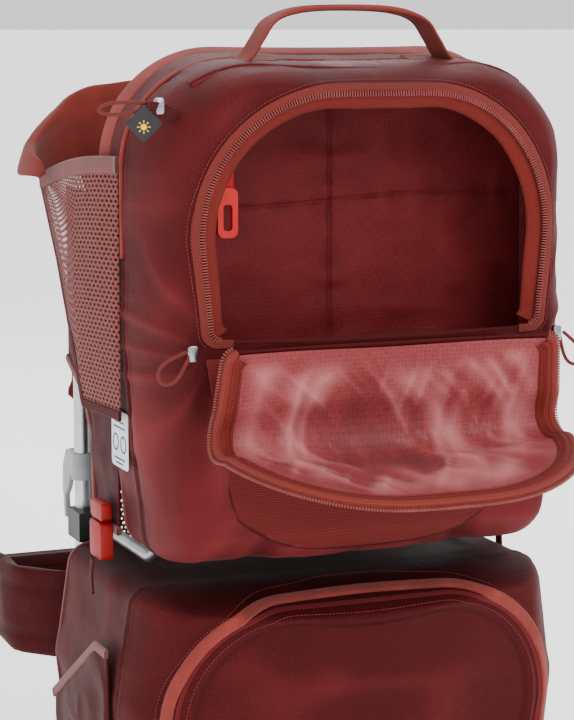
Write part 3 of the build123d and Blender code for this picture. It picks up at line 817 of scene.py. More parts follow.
def zip_row(name, path, normals, body):
    """One side of a coil zip: a row of small tapered teeth."""
    tooth = small_box(1.5, 5.8, 2.3, -0.8)
    return scatter(name, path, normals, tooth, BOX_FACES, ZIP_PITCH, M_COIL, body)


ZIP_PITCH = 2.35
FLAP_CURL = math.radians(92)
FLAP_OPEN = math.radians(190)
HINGE_Y, SILL_Z = -209.0, 520.0
CREASE_Y, CREASE_Z = -184.0, 600.0


def place_flap(p):
    """Closed points to where they hang at rest: the free half curls by up to 92 degrees about the
    crease, growing by 3t^2 - 2t^3 across it, and then the whole flap swings down by 190."""
    x, y, z = p[..., 0], p[..., 1], p[..., 2]
    curl = -FLAP_CURL * smooth(CREASE_Z - 30, CREASE_Z + 30, z)
    y, z = turn_about(y, z, CREASE_Y, CREASE_Z, curl)
    y, z = turn_about(y, z, HINGE_Y, SILL_Z, FLAP_OPEN)
    return np.stack([x, y, z], axis=-1)


def turn_about(y, z, y0, z0, angle):
    """y and z turned about a line along X, from +Y towards +Z."""
    c, s = np.cos(angle), np.sin(angle)
    return y0 + (y - y0) * c - (z - z0) * s, z0 + (y - y0) * s + (z - z0) * c


def turned(vectors, points):
    """Directions on the closed flap turned as its points are."""
    return unit(place_flap(points + vectors) - place_flap(points))


def bend_flap(piece):
    """Bake a piece of the flap's placement into its mesh."""
    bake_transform(piece)


def flap_band(inner, outer, rows, depth, a0, a1):
    """A band of the flap, given as distances in from its edge and a depth inside it."""
    return place_flap(ring_grid(flap_rim, UPPER_C, upper_y, a0, a1, inner, outer, rows, lambda t: -depth(t)))


def flap_rim(a):
    """The flap's edge, just inside the mouth's."""
    return upper_rim(a) - 2.5


def fill_disc(rim, centre, yfun, depth, rows=80, n=400, start=0.0):
    """Rings from a rim to its middle."""
    a = np.linspace(0, TAU, n, endpoint=False)
    s = np.linspace(0, 1, rows)
    reach = (rim(a) - start)[:, None] * (1 - s[None, :]) + 0.02
    x, z = centre[0] + reach * np.cos(a)[:, None], centre[1] + reach * np.sin(a)[:, None]
    p = np.stack([x, yfun(x, z), z], axis=-1) - surface_normal(yfun, x, z) * depth
    away = (rim(a) - start)[:, None] - reach
    return p, away


def level_wall(y0):
    """A face that is flat at y0."""
    return lambda x, _z: np.full_like(x, y0)


def build_flap():
    """The flap hangs as one cloth of two layers: ripstop outside and a coated lining inside."""
    p, away = fill_disc(flap_rim, UPPER_C, upper_y, 0.0)
    x, z = p[..., 0], p[..., 2]
    calm = smooth(6, 46, away)
    rumple = folds(p, (90, 90, 40), 41) * 2.0 + noise(p, (22, 22, 22), 43)
    outer = p + np.stack([0 * x, -rumple * calm, 0 * x], -1)
    piece = grid_piece("flap_cloth", place_flap(outer), M_PACK, None, uv=p[..., (0, 2)],
                       closed_u=True, thick=1.2)
    bend_flap(piece)
    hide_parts("flap_base", "flap_crown")
    # The lining creases hard: ridges run slantwise from the fold to the rim, with fine crumples between.
    u = x * 0.80 - z * 0.60
    v = x * 0.60 + z * 0.80
    bent = noise(p, (90, 90, 90), 51) * 16
    slant = np.stack([(u + bent), (v * 0.35), 0 * u], axis=-1)
    steep = np.stack([x * 0.92 + z * 0.38 + bent, z * 0.3 - x * 0.1, 0 * u], axis=-1)
    height = (folds(slant, (40, 56, 30), 52) * 4.6 + folds(steep, (26, 46, 30), 54) * 2.4
              + folds(slant * 2.4, (30, 30, 30), 55) * 0.6)
    lined, away = fill_disc(flap_rim, UPPER_C, upper_y, 4.2, start=3.0)
    lined[..., 1] += np.maximum(height - 1.6, -2.2) * smooth(8, 44, away)
    # Painted highlight on the lining's ridges and painted shade in its valleys.
    painted_light = np.clip((height - 1.6) * 0.2, -0.75, 0.7) * smooth(8, 44, away)
    lining = grid_piece("flap_lining", place_flap(lined), M_PINK, None, uv=p[..., (0, 2)],
                        closed_u=True, painted_light=painted_light, flip=True)
    bend_flap(lining)
    facing = flap_band(15.5, 2.0, 7, lambda t: 4.4 + 2.6 * math.sin(math.pi * min(1, t * 1.2)) + 0.4 * t,
                       -31.0, 211.0)
    facing_piece = grid_piece("flap_facing", facing, M_BRICK, None, flip=True,
                              uv=band_uv(facing, 12))
    bend_flap(facing_piece)
    # A coral binding wraps the rim, and the zip's coil stands on its outer side.
    edge, normal = along_rim(flap_rim, UPPER_C, upper_y, -32, 212, 0.6, -2.6)
    inner, _ = along_rim(flap_rim, UPPER_C, upper_y, -32, 212, 4.6, -2.6)
    normals = turned(normal, edge)
    rim_path, rim_up = even_pair(place_flap(edge), normals, 3.0)
    binding = sweep("flap_binding", rim_path, rounded(7.5, 7.4, 2.8), rim_up, M_BIND, None)
    bend_flap(binding)
    coil_path = place_flap(edge + normal * 2.6 - unit(inner - edge) * 3.9)
    coil = zip_row("flap_coil", coil_path, normals, None)
    bend_flap(coil)
    for inset, name in ((8.0, "flap_stitch_outer"), (13.0, "flap_stitch_inner")):
        lift = -7.4 if inset < 10 else -6.4
        line, line_normal = along_rim(flap_rim, UPPER_C, upper_y, -32, 212, inset, lift)
        row = stitches(name, place_flap(line), turned(-line_normal, line), None)
        bend_flap(row)


def even_pair(path, normals, step):
    """A path and its normals at even steps."""
    run = lengths(path)
    n = max(3, int(run[-1] / step))
    s = np.linspace(0, run[-1], n)
    points = np.stack([np.interp(s, run, path[:, k]) for k in range(3)], axis=1)
    ups = unit(np.stack([np.interp(s, run, normals[:, k]) for k in range(3)], axis=1))
    return points, ups


def band_uv(p, width):
    """UV along a band and across it."""
    rows = p.shape[1]
    run, across = lengths(p[:, rows // 2]), np.linspace(0, width, rows)
    return np.stack(np.meshgrid(run, across, indexing="ij"), axis=-1)


def build_opening():
    """Round the pocket's mouth: a coral tape, the zip's other coil, and a facing that dips inside."""
    path, normal = along_rim(upper_rim, UPPER_C, upper_y, -35, 215, -3.4, 0.6)
    p, up = even_pair(path, normal, 3.0)
    sweep("mouth_tape", p, rounded(7.4, 2.4, 1.1), up, M_ZIPTAPE, "pack")
    path, normal = along_rim(upper_rim, UPPER_C, upper_y, -32, 212, 1.8, 0.9)
    zip_row("mouth_coil", path, normal, "pack")
    for offset in (-6.4, -9.4):
        path, normal = along_rim(upper_rim, UPPER_C, upper_y, -31, 211, offset, 1.2 if offset > -8 else 0.7)
        stitches("mouth_stitch_%d" % round(-offset), path, normal, "pack", pitch=3.2)
    ring = ring_grid(upper_rim, UPPER_C, upper_y, -31, 211, 15.0, 0.0, 8,
                     lambda t: -1.6 - 7.5 * t + 2.0 * math.sin(math.pi * t))
    ring = ring + noise(ring, (30, 30, 30), 61)[..., None] * 0.8
    grid_piece("mouth_facing", ring, M_BRICK, "pack", uv=band_uv(ring, 15), thick=1.0)


def build_pocket_inside():
    """Walls and back of the pocket: cloth that sags between its seams."""
    n = 300
    a = np.linspace(0, TAU, n, endpoint=False)
    rows = []
    for k in range(40):
        t = k / 39
        near = upper_rim(a) + 4
        far = upper_edge(a) - 9
        swell = math.sin(min(1.0, t * 2.2) * math.pi / 2)
        r = mix(near, far, swell) - 5 * smooth(0.75, 1, t)
        x, z = UPPER_C[0] + r * np.cos(a), UPPER_C[1] + r * np.sin(a)
        y0 = upper_y(UPPER_C[0] + near * np.cos(a), UPPER_C[1] + near * np.sin(a)) + 7
        y0 = np.maximum(y0, upper_y(x, z) + 7)
        y = mix(y0, -95.0, smooth(0.05, 1, t))
        rows.append(np.stack([x, y, z], axis=1))
    p = np.stack(rows, axis=1)
    h = folds(p, (60, 40, 70), 71) * 2.2 + noise(p, (22, 22, 30), 72)
    inward = unit(np.stack([UPPER_C[0] - p[..., 0], 0 * p[..., 0], UPPER_C[1] - p[..., 2]], axis=-1))
    p = p + inward * (np.abs(h) * 0.8)[..., None]
    # Painted highlight on the wall lining's folds and painted shade in their hollows.
    grid_piece("pocket_wall_lining", p, M_INSIDE, "pack", uv=pack_uv(p), closed_u=True,
               painted_light=np.clip(h * 0.12, -0.6, 0.6), flip=True)
    q, away = fill_disc(upper_edge, UPPER_C, level_wall(-93.0), 0.0, rows=150, n=420, start=7.0)
    x, z = q[..., 0], q[..., 2]
    seam_z = 628 + 5 * np.sin(x / 70)
    d_centre = np.abs(x + 4)
    d_level = np.abs(z - seam_z)
    h = folds(q, (70, 60, 46), 81) * 2.4 + noise(q, (24, 20, 24), 83)
    # Small gathers fan out of the centre seam and out of the line of stitching.
    gather = np.sin(z / 5.5 + 2 * noise(q, (30, 30, 30), 84)) * np.exp(-d_centre / 16) * 1.1
    gather = gather + np.sin(x / 6.0 + 2 * noise(q, (30, 30, 30), 85)) * np.exp(-d_level / 14) * 0.9
    h = h * (1 - np.exp(-(d_centre / 14) ** 2)) * (1 - 0.7 * np.exp(-(d_level / 12) ** 2)) + gather
    h = h - 2.2 * np.exp(-(d_centre / 2.0) ** 2) - 1.6 * np.exp(-(d_level / 1.8) ** 2)
    q[..., 1] -= h * smooth(0, 14, away)
    # Painted highlight on the back lining's folds and gathers, and painted shade in their hollows and in the
    # seam grooves.
    back = grid_piece("pocket_back_lining", q, M_INSIDE, "pack", uv=q[..., (0, 2)],
                      closed_u=True, thick=1.5, painted_light=np.clip(h * 0.14, -0.7, 0.6))
    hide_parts("pocket_lining")


def build_shade_zip():
    """A dark zip for the rolled sunshade follows the crown a little to the rear of the seam, with a coral
    piping along the seam itself."""
    a = np.radians(np.linspace(38, 142, 500))
    r = upper_edge(a) - 7.0
    x, z = r * np.cos(a), UPPER_C[1] + r * np.sin(a)
    y = upper_y(x, z)
    normal = surface_normal(upper_y, x, z)
    sunk = 10.0 * smooth(0.25, 0.9, np.sin(a))
    x, z = x - sunk * np.cos(a), z - sunk * np.sin(a)
    path = np.stack([x, y, z], -1) + normal * 1.8
    p, up = even_pair(path, normal, 4.0)
    sweep("shade_zip_tape", p, rounded(15.0, 2.0, 0.9), up, M_ZIPDARK, "pack")
    tooth = small_box(1.2, 4.6, 1.6, 0.6)
    scatter("shade_coil", path, normal, tooth, BOX_FACES, 2.0, M_ZIPDARK, "pack")
    a = np.radians(np.linspace(-8, 188, 700))
    r = upper_edge(a) + 0.6 - 10.0 * smooth(0.25, 0.9, np.sin(a))
    x, z = r * np.cos(a), UPPER_C[1] + r * np.sin(a)
    path = np.stack([x, np.full_like(x, -101.0), z], -1)
    normal = unit(np.stack([np.cos(a), np.full_like(a, -0.3), np.sin(a)], -1))
    p, up = even_pair(path, normal, 4.0)
    sweep("crown_piping", p, disc(2.6, 10), up, M_RIM, "pack")
    # The rim of the rolled edge in front of the zip.
    r = upper_edge(a) + 0.4 - 3.0 * smooth(0.25, 0.9, np.sin(a))
    x, z = r * np.cos(a), UPPER_C[1] + r * np.sin(a)
    path = np.stack([x, np.full_like(x, -60.0), z], -1)
    p, up = even_pair(path, normal, 4.0)
    sweep("crown_rim", p, rounded(22, 6, 2.9), up, M_RIM, "pack")


def build_ribbed_panel():
    """A heavy ribbed panel under the pocket's sill, with a curved lower seam."""
    u = np.linspace(-1, 1, 160)
    v = np.linspace(0, 1, 60)
    u, v = np.meshgrid(u, v, indexing="ij")
    low = 329 + 52 * np.abs(u) ** 3.0 + 90 * np.clip(np.abs(u) - 0.88, 0, 1) * 4
    high = 506 + 0 * u
    x = u * mix(142, 158, v)
    z = mix(low, high, v)
    y = upper_y(x, z)
    normal = surface_normal(upper_y, x, z)
    edge = np.minimum.reduce([(1 - np.abs(u)) * 140, v * (high - low), (1 - v) * (high - low)])
    flat = np.stack([x, y, z], -1)
    puff = 3.4 + 2.2 * smooth(0, 26, edge) + folds(flat, (80, 60, 80), 91)
    p = flat + normal * puff[..., None]
    grid_piece("ribbed_panel", p, M_RIB, "pack", uv=np.stack([x, z], -1), thick=1.6)
    path, up = even_pair(flat[:, 0] + normal[:, 0] * 2.4, normal[:, 0], 4.0)
    sweep("ribbed_seam", path, disc(2.0, 8), up, M_PACK, "pack")


def build_door_welt():
    """The lower door's zip lies under a coral welt with stitching each side of it."""
    path, normal = along_rim(lower_rim, LOWER_C, lower_y, -46, 226, -4.8, 1.2)
    p, up = even_pair(path, normal, 3.5)
    sweep("door_welt", p, rounded(11.5, 4.2, 2.0), up, M_RIM, "pack")
    path, normal = along_rim(lower_rim, LOWER_C, lower_y, -46, 226, 2.6, 0.8)
    p, up = even_pair(path, normal, 3.5)
    sweep("door_tape", p, rounded(5.0, 2.0, 0.9), up, M_ZIPDARK, "lower_door")
    path, normal = along_rim(lower_rim, LOWER_C, lower_y, -44, 224, 11.0, 3.2)
    stitches("door_stitch", path, normal, "lower_door", pitch=3.4)
    path, normal = along_rim(lower_rim, LOWER_C, lower_y, -44, 224, -12.6, 0.9)
    stitches("door_frame_stitch", path, normal, "pack", pitch=3.4)


build_flap()
build_opening()
build_pocket_inside()
build_shade_zip()
build_ribbed_panel()
build_door_welt()


def closing_panel(name, edge, centre, y0, inset, mat, replaced, quilts=(), depth=2.6):
    """A padded cloth wall that closes a pack's front: flat at its seam, a little proud inside it, with
    sewn channels across it at the given heights."""
    p, away = fill_disc(edge, centre, level_wall(y0), 0.0, rows=90, n=420, start=inset)
    rumple = folds(p, (80, 60, 60), 151) + noise(p, (26, 26, 26), 153) * 0.5
    h = depth * smooth(0, 26, away) + rumple * smooth(2, 24, away)
    for z in quilts:
        h = h - 2.6 * np.exp(-((p[..., 2] - z) / 3.2) ** 2) * smooth(6, 24, away)
    p[..., 1] += h
    # Painted shade near the seam, in the quilted channels and in hollows, and painted highlight on rumples.
    panel = grid_piece(name, p, mat, "pack", uv=p[..., (0, 2)], closed_u=True,
                       thick=2.0, painted_light=np.clip((h - depth) * 0.14, -0.6, 0.4), flip=True)
    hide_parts(*replaced)
    a = np.linspace(0, TAU, 420, endpoint=False)
    r = edge(a) - inset
    path = np.stack([centre[0] + r * np.cos(a), np.full_like(a, y0), centre[1] + r * np.sin(a)], -1)
    out = np.stack([np.cos(a), np.full_like(a, 0.25), np.sin(a)], -1)
    sweep(name + "_binding", path, rounded(8, 4.6, 1.9), out, M_TAUPE, "pack", closed=True)


closing_panel("upper_back_panel", upper_edge, UPPER_C, -51.0, 1.5, M_DEEP, ("upper_backrest", "upper_floor"),
              (430, 520, 610))
closing_panel("lower_front_panel", lower_edge, LOWER_C, 84.0, 1.5, M_DEEP, ("lower_front_wall",), (200,))


# ---------------------------------------------------------------- soft parts from their CAD solids
def box_uv(mesh):
    """UV from position, projected along each face's main direction, in metres."""
    count = len(mesh.polygons)
    normal = np.empty(count * 3)
    mesh.polygons.foreach_get("normal", normal)
    main = np.abs(normal.reshape(-1, 3)).argmax(axis=1)
    total = np.empty(count, dtype=np.int32)
    mesh.polygons.foreach_get("loop_total", total)
    corner = np.empty(len(mesh.loops), dtype=np.int32)
    mesh.loops.foreach_get("vertex_index", corner)
    co = np.empty(len(mesh.vertices) * 3)
    mesh.vertices.foreach_get("co", co)
    p = co.reshape(-1, 3)[corner]
    axis = np.repeat(main, total)
    u = np.where(axis == 0, p[:, 1], p[:, 0])
    v = np.where(axis == 2, p[:, 1], p[:, 2])
    layer = mesh.uv_layers.get("UVMap") or mesh.uv_layers.new(name="UVMap")
    layer.data.foreach_set("uv", np.stack([u, v], axis=1).ravel())


def copy_of(node, name, mat):
    """A merged copy of a CAD node's mesh as a new piece."""
    mesh = frame["nodes"][node].data.copy()
    mesh.name = name
    mesh.materials.clear()
    mesh.materials.append(mat)
    piece = bpy.data.objects.new(name, mesh)
    bpy.context.scene.collection.objects.link(piece)
    bpy.context.view_layer.objects.active = piece
    bpy.ops.object.select_all(action="DESELECT")
    piece.select_set(True)
    bpy.ops.object.mode_set(mode="EDIT")
    bpy.ops.mesh.select_all(action="SELECT")
    bpy.ops.mesh.remove_doubles(threshold=0.00002)
    bpy.ops.mesh.dissolve_limited(angle_limit=math.radians(1.5))
    bpy.ops.mesh.normals_make_consistent(inside=False)
    bpy.ops.object.mode_set(mode="OBJECT")
    return piece


def apply(piece, modifier):
    """Make a modifier's result the piece's own mesh."""
    bpy.context.view_layer.objects.active = piece
    bpy.ops.object.modifier_apply(modifier=modifier.name)


def moulded_copy(node, name, mat, body, width=0.8):
    """A hard part with its edges rounded."""
    piece = copy_of(node, name, mat)
    bevel = piece.modifiers.new("rounded", "BEVEL")
    bevel.width = width / 1000
    bevel.segments = 2
    bevel.limit_method = "ANGLE"
    bevel.angle_limit = math.radians(35)
    apply(piece, bevel)
    piece.data.polygons.foreach_set("use_smooth", [True] * len(piece.data.polygons))
    crisp = piece.modifiers.new("edges", "EDGE_SPLIT")
    crisp.split_angle = math.radians(50)
    box_uv(piece.data)
    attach(piece, body)
    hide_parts(node)
    return piece


def pillow(node, name, mat, body, voxel=5.0, pressure=4.0, cap=6.0, shrink=2.5, creases=None,
           frames=16, wrinkle=0.5):
    """A stuffed pad: remeshed, drawn in a little, blown up by cloth pressure with its travel capped, and
    then given its sewn channels and small wrinkles along its normals."""
    piece = copy_of(node, name, mat)
    remesh = piece.modifiers.new("remesh", "REMESH")
    remesh.mode = "VOXEL"
    remesh.voxel_size = voxel / 1000
    apply(piece, remesh)
    mesh = piece.data
    soft = piece.modifiers.new("soften", "SMOOTH")
    soft.iterations = 4
    soft.factor = 0.6
    apply(piece, soft)
    count = len(mesh.vertices)
    start = np.empty(count * 3)
    mesh.vertices.foreach_get("co", start)
    start = start.reshape(-1, 3)
    normal = np.empty(count * 3)
    mesh.vertices.foreach_get("normal", normal)
    normal = normal.reshape(-1, 3)
    p = start - normal * shrink / 1000
    mesh.vertices.foreach_set("co", p.ravel())
    mesh.update()
    cloth_modifier = piece.modifiers.new("fill", "CLOTH")
    settings = cloth_modifier.settings
    settings.quality = 5
    settings.mass = 0.3
    settings.tension_stiffness = 12
    settings.bending_stiffness = 0.6
    settings.use_pressure = True
    settings.uniform_pressure_force = pressure
    settings.effector_weights.gravity = 0
    cloth_modifier.collision_settings.use_collision = False
    cloth_modifier.point_cache.frame_end = frames
    for step in range(1, frames + 1):
        bpy.context.scene.frame_set(step)
    apply(piece, cloth_modifier)
    bpy.context.scene.frame_set(1)
    blown = np.empty(count * 3)
    mesh.vertices.foreach_get("co", blown)
    travel = blown.reshape(-1, 3) - p
    far = np.linalg.norm(travel, axis=1, keepdims=True)
    p = p + travel * np.minimum(1, cap / 1000 / np.maximum(far, 1e-9))
    mm = p * 1000
    dip = folds(mm, (46, 46, 46), 101) * 0.5 * wrinkle + noise(mm, (16, 16, 16), 103) * 0.35 * wrinkle
    if creases is not None:
        dip = dip - creases(mm)
    p = p + normal * dip[:, None] / 1000
    mesh.vertices.foreach_set("co", p.ravel())
    # Painted highlight on the pad's crests and painted shade in its channels and wrinkle hollows.
    shade = mesh.attributes.new("painted_light", "FLOAT", "POINT")
    shade.data.foreach_set("value", np.clip(dip * 0.16, -0.6, 0.4))
    finer = piece.modifiers.new("finer", "SUBSURF")
    finer.levels = finer.render_levels = 1
    mesh.polygons.foreach_set("use_smooth", [True] * len(mesh.polygons))
    mesh.update()
    box_uv(mesh)
    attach(piece, body)
    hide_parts(node)
    return piece


def channels(axis, places, width=4.0, depth=2.2):
    """Sewn channels across a pad: dips of depth along lines at the given places on one axis."""
    def dip(p):
        total = 0
        for place in places:
            total = total + depth * np.exp(-((p[:, axis] - place) / width) ** 2)
        return total
    return dip


def ruled(name, low, high, mat, body, rows=60, thick=0.0, bow=0.0, wrinkle=1.0, seed=0, out=(1, 0, 0),
          replaces=(), flip=False):
    """A sheet between two edges, bowed towards out in its middle by bow times sin(pi v) sin(pi u)."""
    v = np.linspace(0, 1, rows)[None, :, None]
    p = low[:, None] * (1 - v) + high[:, None] * v
    uv = grid_uv(p)
    u = np.linspace(0, 1, len(low))[:, None]
    arch = np.sin(np.pi * u) * np.sin(np.pi * v[..., 0])
    h = bow * arch + wrinkle * (folds(p, (60, 60, 60), seed + 121) * 1.4
                                + noise(p, (22, 22, 26), seed + 123) * 0.6) * smooth(0, 0.12, arch)
    p = p + np.asarray(out, float) * h[..., None]
    piece = grid_piece(name, p, mat, body, uv=uv, thick=thick, flip=flip)
    if replaces:
        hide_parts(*replaces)
    return piece, p


def strap(name, points, width, thick, up, mat, body, step=5.0, replaces=()):
    """Flat webbing along a smooth path."""
    path = resample(points, step)
    piece = sweep(name, path, rounded(width, thick, thick * 0.42), up, mat, body)
    if replaces:
        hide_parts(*replaces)
    return piece


def build_cockpit():
    """Mesh gussets, cloth sides, a fleece collar all round the front, seat, pad and harness."""
    for side, word in ((-1, "left"), (1, "right")):
        s = np.linspace(0, 1, 70)
        a, b = np.array([204.0, -99.0]), np.array([222.0, 74.0])
        run = s * 173.9
        low_z = np.interp(run, [0, 82, 104, 136, 173.9], [446, 446, 500, 572, 640])
        high_z = mix(664, 640, s) + 6 * np.sin(np.pi * s)
        low_z = np.minimum(low_z, high_z - 2)
        plan = a[None] * (1 - s[:, None]) + b[None] * s[:, None]
        low = np.stack([plan[:, 0], plan[:, 1], low_z], 1)
        high = np.stack([plan[:, 0] + 3 * np.sin(np.pi * s), plan[:, 1], high_z], 1)
        low[:, 0] *= side
        high[:, 0] *= side
        names = ("mesh_gussets",) if side < 0 else ()
        ruled("mesh_gusset_" + word, low, high, M_MESH, "pack", bow=5.0, wrinkle=0.8,
              seed=3 + side, out=(side, -0.1, 0), replaces=names, flip=side < 0, thick=1.2)
        path, up = even_pair(high, np.tile([0, 0, 1.0], (len(high), 1)), 4.0)
        sweep("gusset_binding_" + word, path, rounded(5, 15, 2.2), up, M_TAUPE, "pack")
        path, up = even_pair(low, np.tile([side, 0, 0.02], (len(low), 1)), 4.0)
        sweep("gusset_edge_" + word, path, rounded(9, 3.0, 1.3), up, M_DARKTAPE, "pack")
        y = np.concatenate([np.linspace(-49, 21, 30), np.linspace(22, 104, 60)])
        leg_z = np.interp(y, [-49, 22, 26, 52, 104], [332, 332, 408, 444, 470])
        low = np.stack([np.full_like(y, 190 * side), y, leg_z], 1)
        high = np.stack([np.full_like(y, 190 * side), y, np.full_like(y, 632.0)], 1)
        names = ("side_cloths",) if side < 0 else ()
        ruled("side_cloth_" + word, low, high, M_DEEP, "pack", bow=3.0, wrinkle=1.4,
              seed=8 + side, out=(side, 0, 0), replaces=names, flip=side < 0, thick=2.0)
        path, up = even_pair(low, np.tile([side, 0, 0.02], (len(low), 1)), 4.0)
        sweep("leg_binding_" + word, path, rounded(8, 5, 2.0), up, M_TAUPE, "pack")
    # The collar: a path through both wings, and a rounded pad section whose top falls to the sides.
    half_plan = [(236, 22), (241, 46), (232, 78), (198, 101), (150, 101), (60, 98)]
    plan = resample([(-x, y) for x, y in half_plan] + half_plan[::-1], 5.0)
    n = len(plan)
    x = plan[:, 0]
    side = smooth(150, 205, np.abs(x))
    top = mix(738 - 0.0004 * x ** 2, np.interp(np.abs(x), [150, 190, 241], [733, 716, 672]), side)
    tip = np.minimum(1, np.minimum(np.arange(n), np.arange(n)[::-1]) / 9.0)
    top = top - 26 * (1 - np.sqrt(1 - (1 - tip) ** 2))
    bottom = mix(566.0, 646.0, smooth(150, 180, np.abs(x)))
    k = 56
    angle = np.linspace(0, TAU, k, endpoint=False)
    p = np.zeros((n, k, 3))
    tangent = unit(np.gradient(plan, axis=0))
    across = np.stack([tangent[:, 1], -tangent[:, 0]], 1)
    half = (top - bottom) / 2
    for j, t in enumerate(angle):
        c, s = math.cos(t), math.sin(t)
        high = np.sign(s) * abs(s) ** 0.35
        wide = np.sign(c) * abs(c) ** 0.55 * 7.2 * (0.25 + 0.75 * tip)
        lean = 3.0 * high
        p[:, j, :2] = plan + across * (wide + lean)[:, None]
        p[:, j, 2] = (top + bottom) / 2 + half * high
    h = folds(p, (70, 70, 50), 131) * 1.6 + noise(p, (24, 24, 24), 133) * 0.8
    normal = grid_normals(p, closed_v=True)
    p = p - normal * (h * 0.8)[..., None]
    uv = np.stack(np.meshgrid(lengths(plan), np.linspace(0, 380, k), indexing="ij"), -1)
    # Painted shade in the collar's dents and painted highlight on its swells.
    collar = grid_piece("padded_collar", p, M_FLEECE, "pack", uv=uv, closed_v=True,
                        painted_light=np.clip(-h * 0.1, -0.5, 0.5))
    cap_ends(collar)
    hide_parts("front_collar", "collar_wings")
    pillow("head_pad", "child_head_pad", M_FLEECE, "pack", cap=5.0,
           creases=channels(2, (571, 621)))
    pillow("child_seat", "seat_pad", M_FLEECE, "seat", cap=4.0)
    for side, word in ((-1, "left"), (1, "right")):
        points = [(46 * side, -37, 663), (46 * side, -31, 640), (46 * side, -22, 560), (46 * side, -19, 472)]
        names = ("child_harness",) if side < 0 else ()
        strap("child_strap_" + word, points, 30, 6.5, (0, -1, 0.05), M_DARKTAPE, "pack",
              replaces=names)


def cap_ends(piece):
    """Close the two ends of a tube-like grid."""
    bpy.context.view_layer.objects.active = piece
    bpy.ops.object.select_all(action="DESELECT")
    piece.select_set(True)
    bpy.ops.object.mode_set(mode="EDIT")
    bpy.ops.mesh.select_mode(type="EDGE")
    bpy.ops.mesh.select_all(action="DESELECT")
    bpy.ops.mesh.select_non_manifold()
    bpy.ops.mesh.edge_face_add()
    bpy.ops.mesh.select_all(action="SELECT")
    bpy.ops.mesh.normals_make_consistent(inside=False)
    bpy.ops.object.mode_set(mode="OBJECT")


def body_of(node):
    """The moving body that carries a CAD node."""
    for name, nodes in frame["record"]["behaviour"]["bodies"].items():
        if node in nodes:
            return name
    return "pack"


HANDLE_Y = -118.0


def build_handle():
    """The grab handle: one length of webbing whose ends are sewn down as tabs, with its grip folded."""
    grip = [(98, 751), (91, 758), (82, 772), (70, 787), (44, 795.5)]
    outline = [(-x, z) for x, z in grip] + [(0, 797.5)] + grip[::-1]
    arch = resample([(x, HANDLE_Y, z) for x, z in outline], 3.0)
    x = arch[:, 0]
    narrow = smooth(74, 50, np.abs(x))
    section = np.stack([rounded(34 - 12 * w, 3.0 + 2.6 * w, 1.4 + 0.9 * w) for w in narrow])
    inward = unit(np.stack([x * 0.9, 0 * x, 1.4 + 0 * x], -1))
    handle = sweep("grab_webbing", arch, section, inward, M_TAPE, "pack")
    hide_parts("grab_handle")
    for side, word in ((-1, "left"), (1, "right")):
        points = [(81 * side, y, 749.2 + 0.17 * (y - HANDLE_Y) + 1.6) for y in (-97, -112, -126, -140)]
        tab = resample(points, 3.0)
        sweep("grab_tab_" + word, tab, rounded(38, 3.4, 1.5), (0, -0.17, 1), M_TAPE, "pack")
        box = [(-15, 3), (15, 3), (15, 20), (-15, 20), (-15, 3), (15, 20)]
        line = [np.array([81 * side + u, HANDLE_Y - v, 752.6 - 0.17 * v]) for u, v in box]
        dense = even(np.array(line), 1.0)
        stitches("grab_tab_stitch_" + word, dense, (0, -0.17, 1), "pack", pitch=3.2)


def build_wearer_side():
    """Back panel, pads, shoulder straps, hip belt and their webbing."""
    u = np.linspace(-155, 155, 120)
    v = np.linspace(151, 599, 160)
    x, z = np.meshgrid(u, v, indexing="ij")
    y = 133.5 + np.cos(x / 155 * np.pi / 2) + 0 * z
    p = np.stack([x, y, z], -1)
    back = grid_piece("trampoline_mesh", p, M_AIRMESH, "pack", uv=p[..., (0, 2)],
                      thick=2.4, flip=True)
    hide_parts("back_mesh")
    outline = [(-155, 151), (155, 151), (155, 599), (-155, 599)]
    rim = corner_path(outline, [12, 12, 12, 12], 4.0)
    path = np.stack([rim[:, 0], np.full(len(rim), 134.0), rim[:, 1]], -1)
    sweep("trampoline_binding", path[:-1], rounded(9, 4.4, 1.8), (0, 1, 0), M_TAUPE, "pack",
          closed=True)
    pillow("lumbar_pad", "lumbar_cushion", M_AIRMESH, "pack", cap=6.0,
           creases=channels(0, (-60, 0, 60)))
    pillow("yoke_pad", "yoke_cushion", M_FLEECE, "harness", cap=5.0,
           creases=channels(2, (574,)))
    pillow("shoulder_straps", "shoulder_pads", M_FLEECE, "harness", cap=4.0,
           voxel=4.5, creases=strap_channels)
    for side in ("left", "right"):
        pillow("hip_wing_" + side, "hip_pad_" + side, M_DEEP, "hip_" + side,
               cap=4.0, creases=channels(2, (181, 229), 4.0, 1.8))
    for side, word in ((-1, "left"), (1, "right")):
        drop = ((193, 398), (190, 388), (178, 332), (168.5, 292), (163.5, 258))
        points = [(146 * side, y, z) for y, z in drop]
        names = ("strap_webbing",) if side < 0 else ()
        strap("strap_tail_" + word, points, 20, 2.4, (0, 1, -0.2), M_DARKTAPE, "pack",
              replaces=names)
        front = 334.0
        points = [(219 * side, front - 33, 205), (217 * side, front - 18, 205), (210 * side, front - 4, 205),
                  (196 * side, front, 205), (130 * side, front + 0.6, 205), (64 * side, front, 205)]
        strap("hip_tape_" + word, points, 2.4, 38, (0, 0, 1), M_DARKTAPE, "hip_" + word,
              replaces=("hip_webbing_" + word,))
    points = [(-78, 252, 566), (-30, 252.4, 566), (30, 252.4, 566), (78, 252, 566)]
    strap("sternum_tape", points, 20, 2.4, (0, 1, 0), M_DARKTAPE, "sternum",
          replaces=("sternum_webbing",))


def strap_channels(p):
    """Two stitched lines follow each shoulder strap, a sixth of its width in from its edges."""
    x = np.abs(p[:, 0])
    z = p[:, 2]
    centre = 146 - 0.2867 * (z - 400)
    d = np.abs(np.abs(x - centre) - 21.0)
    return 1.8 * np.exp(-(d / 2.6) ** 2)


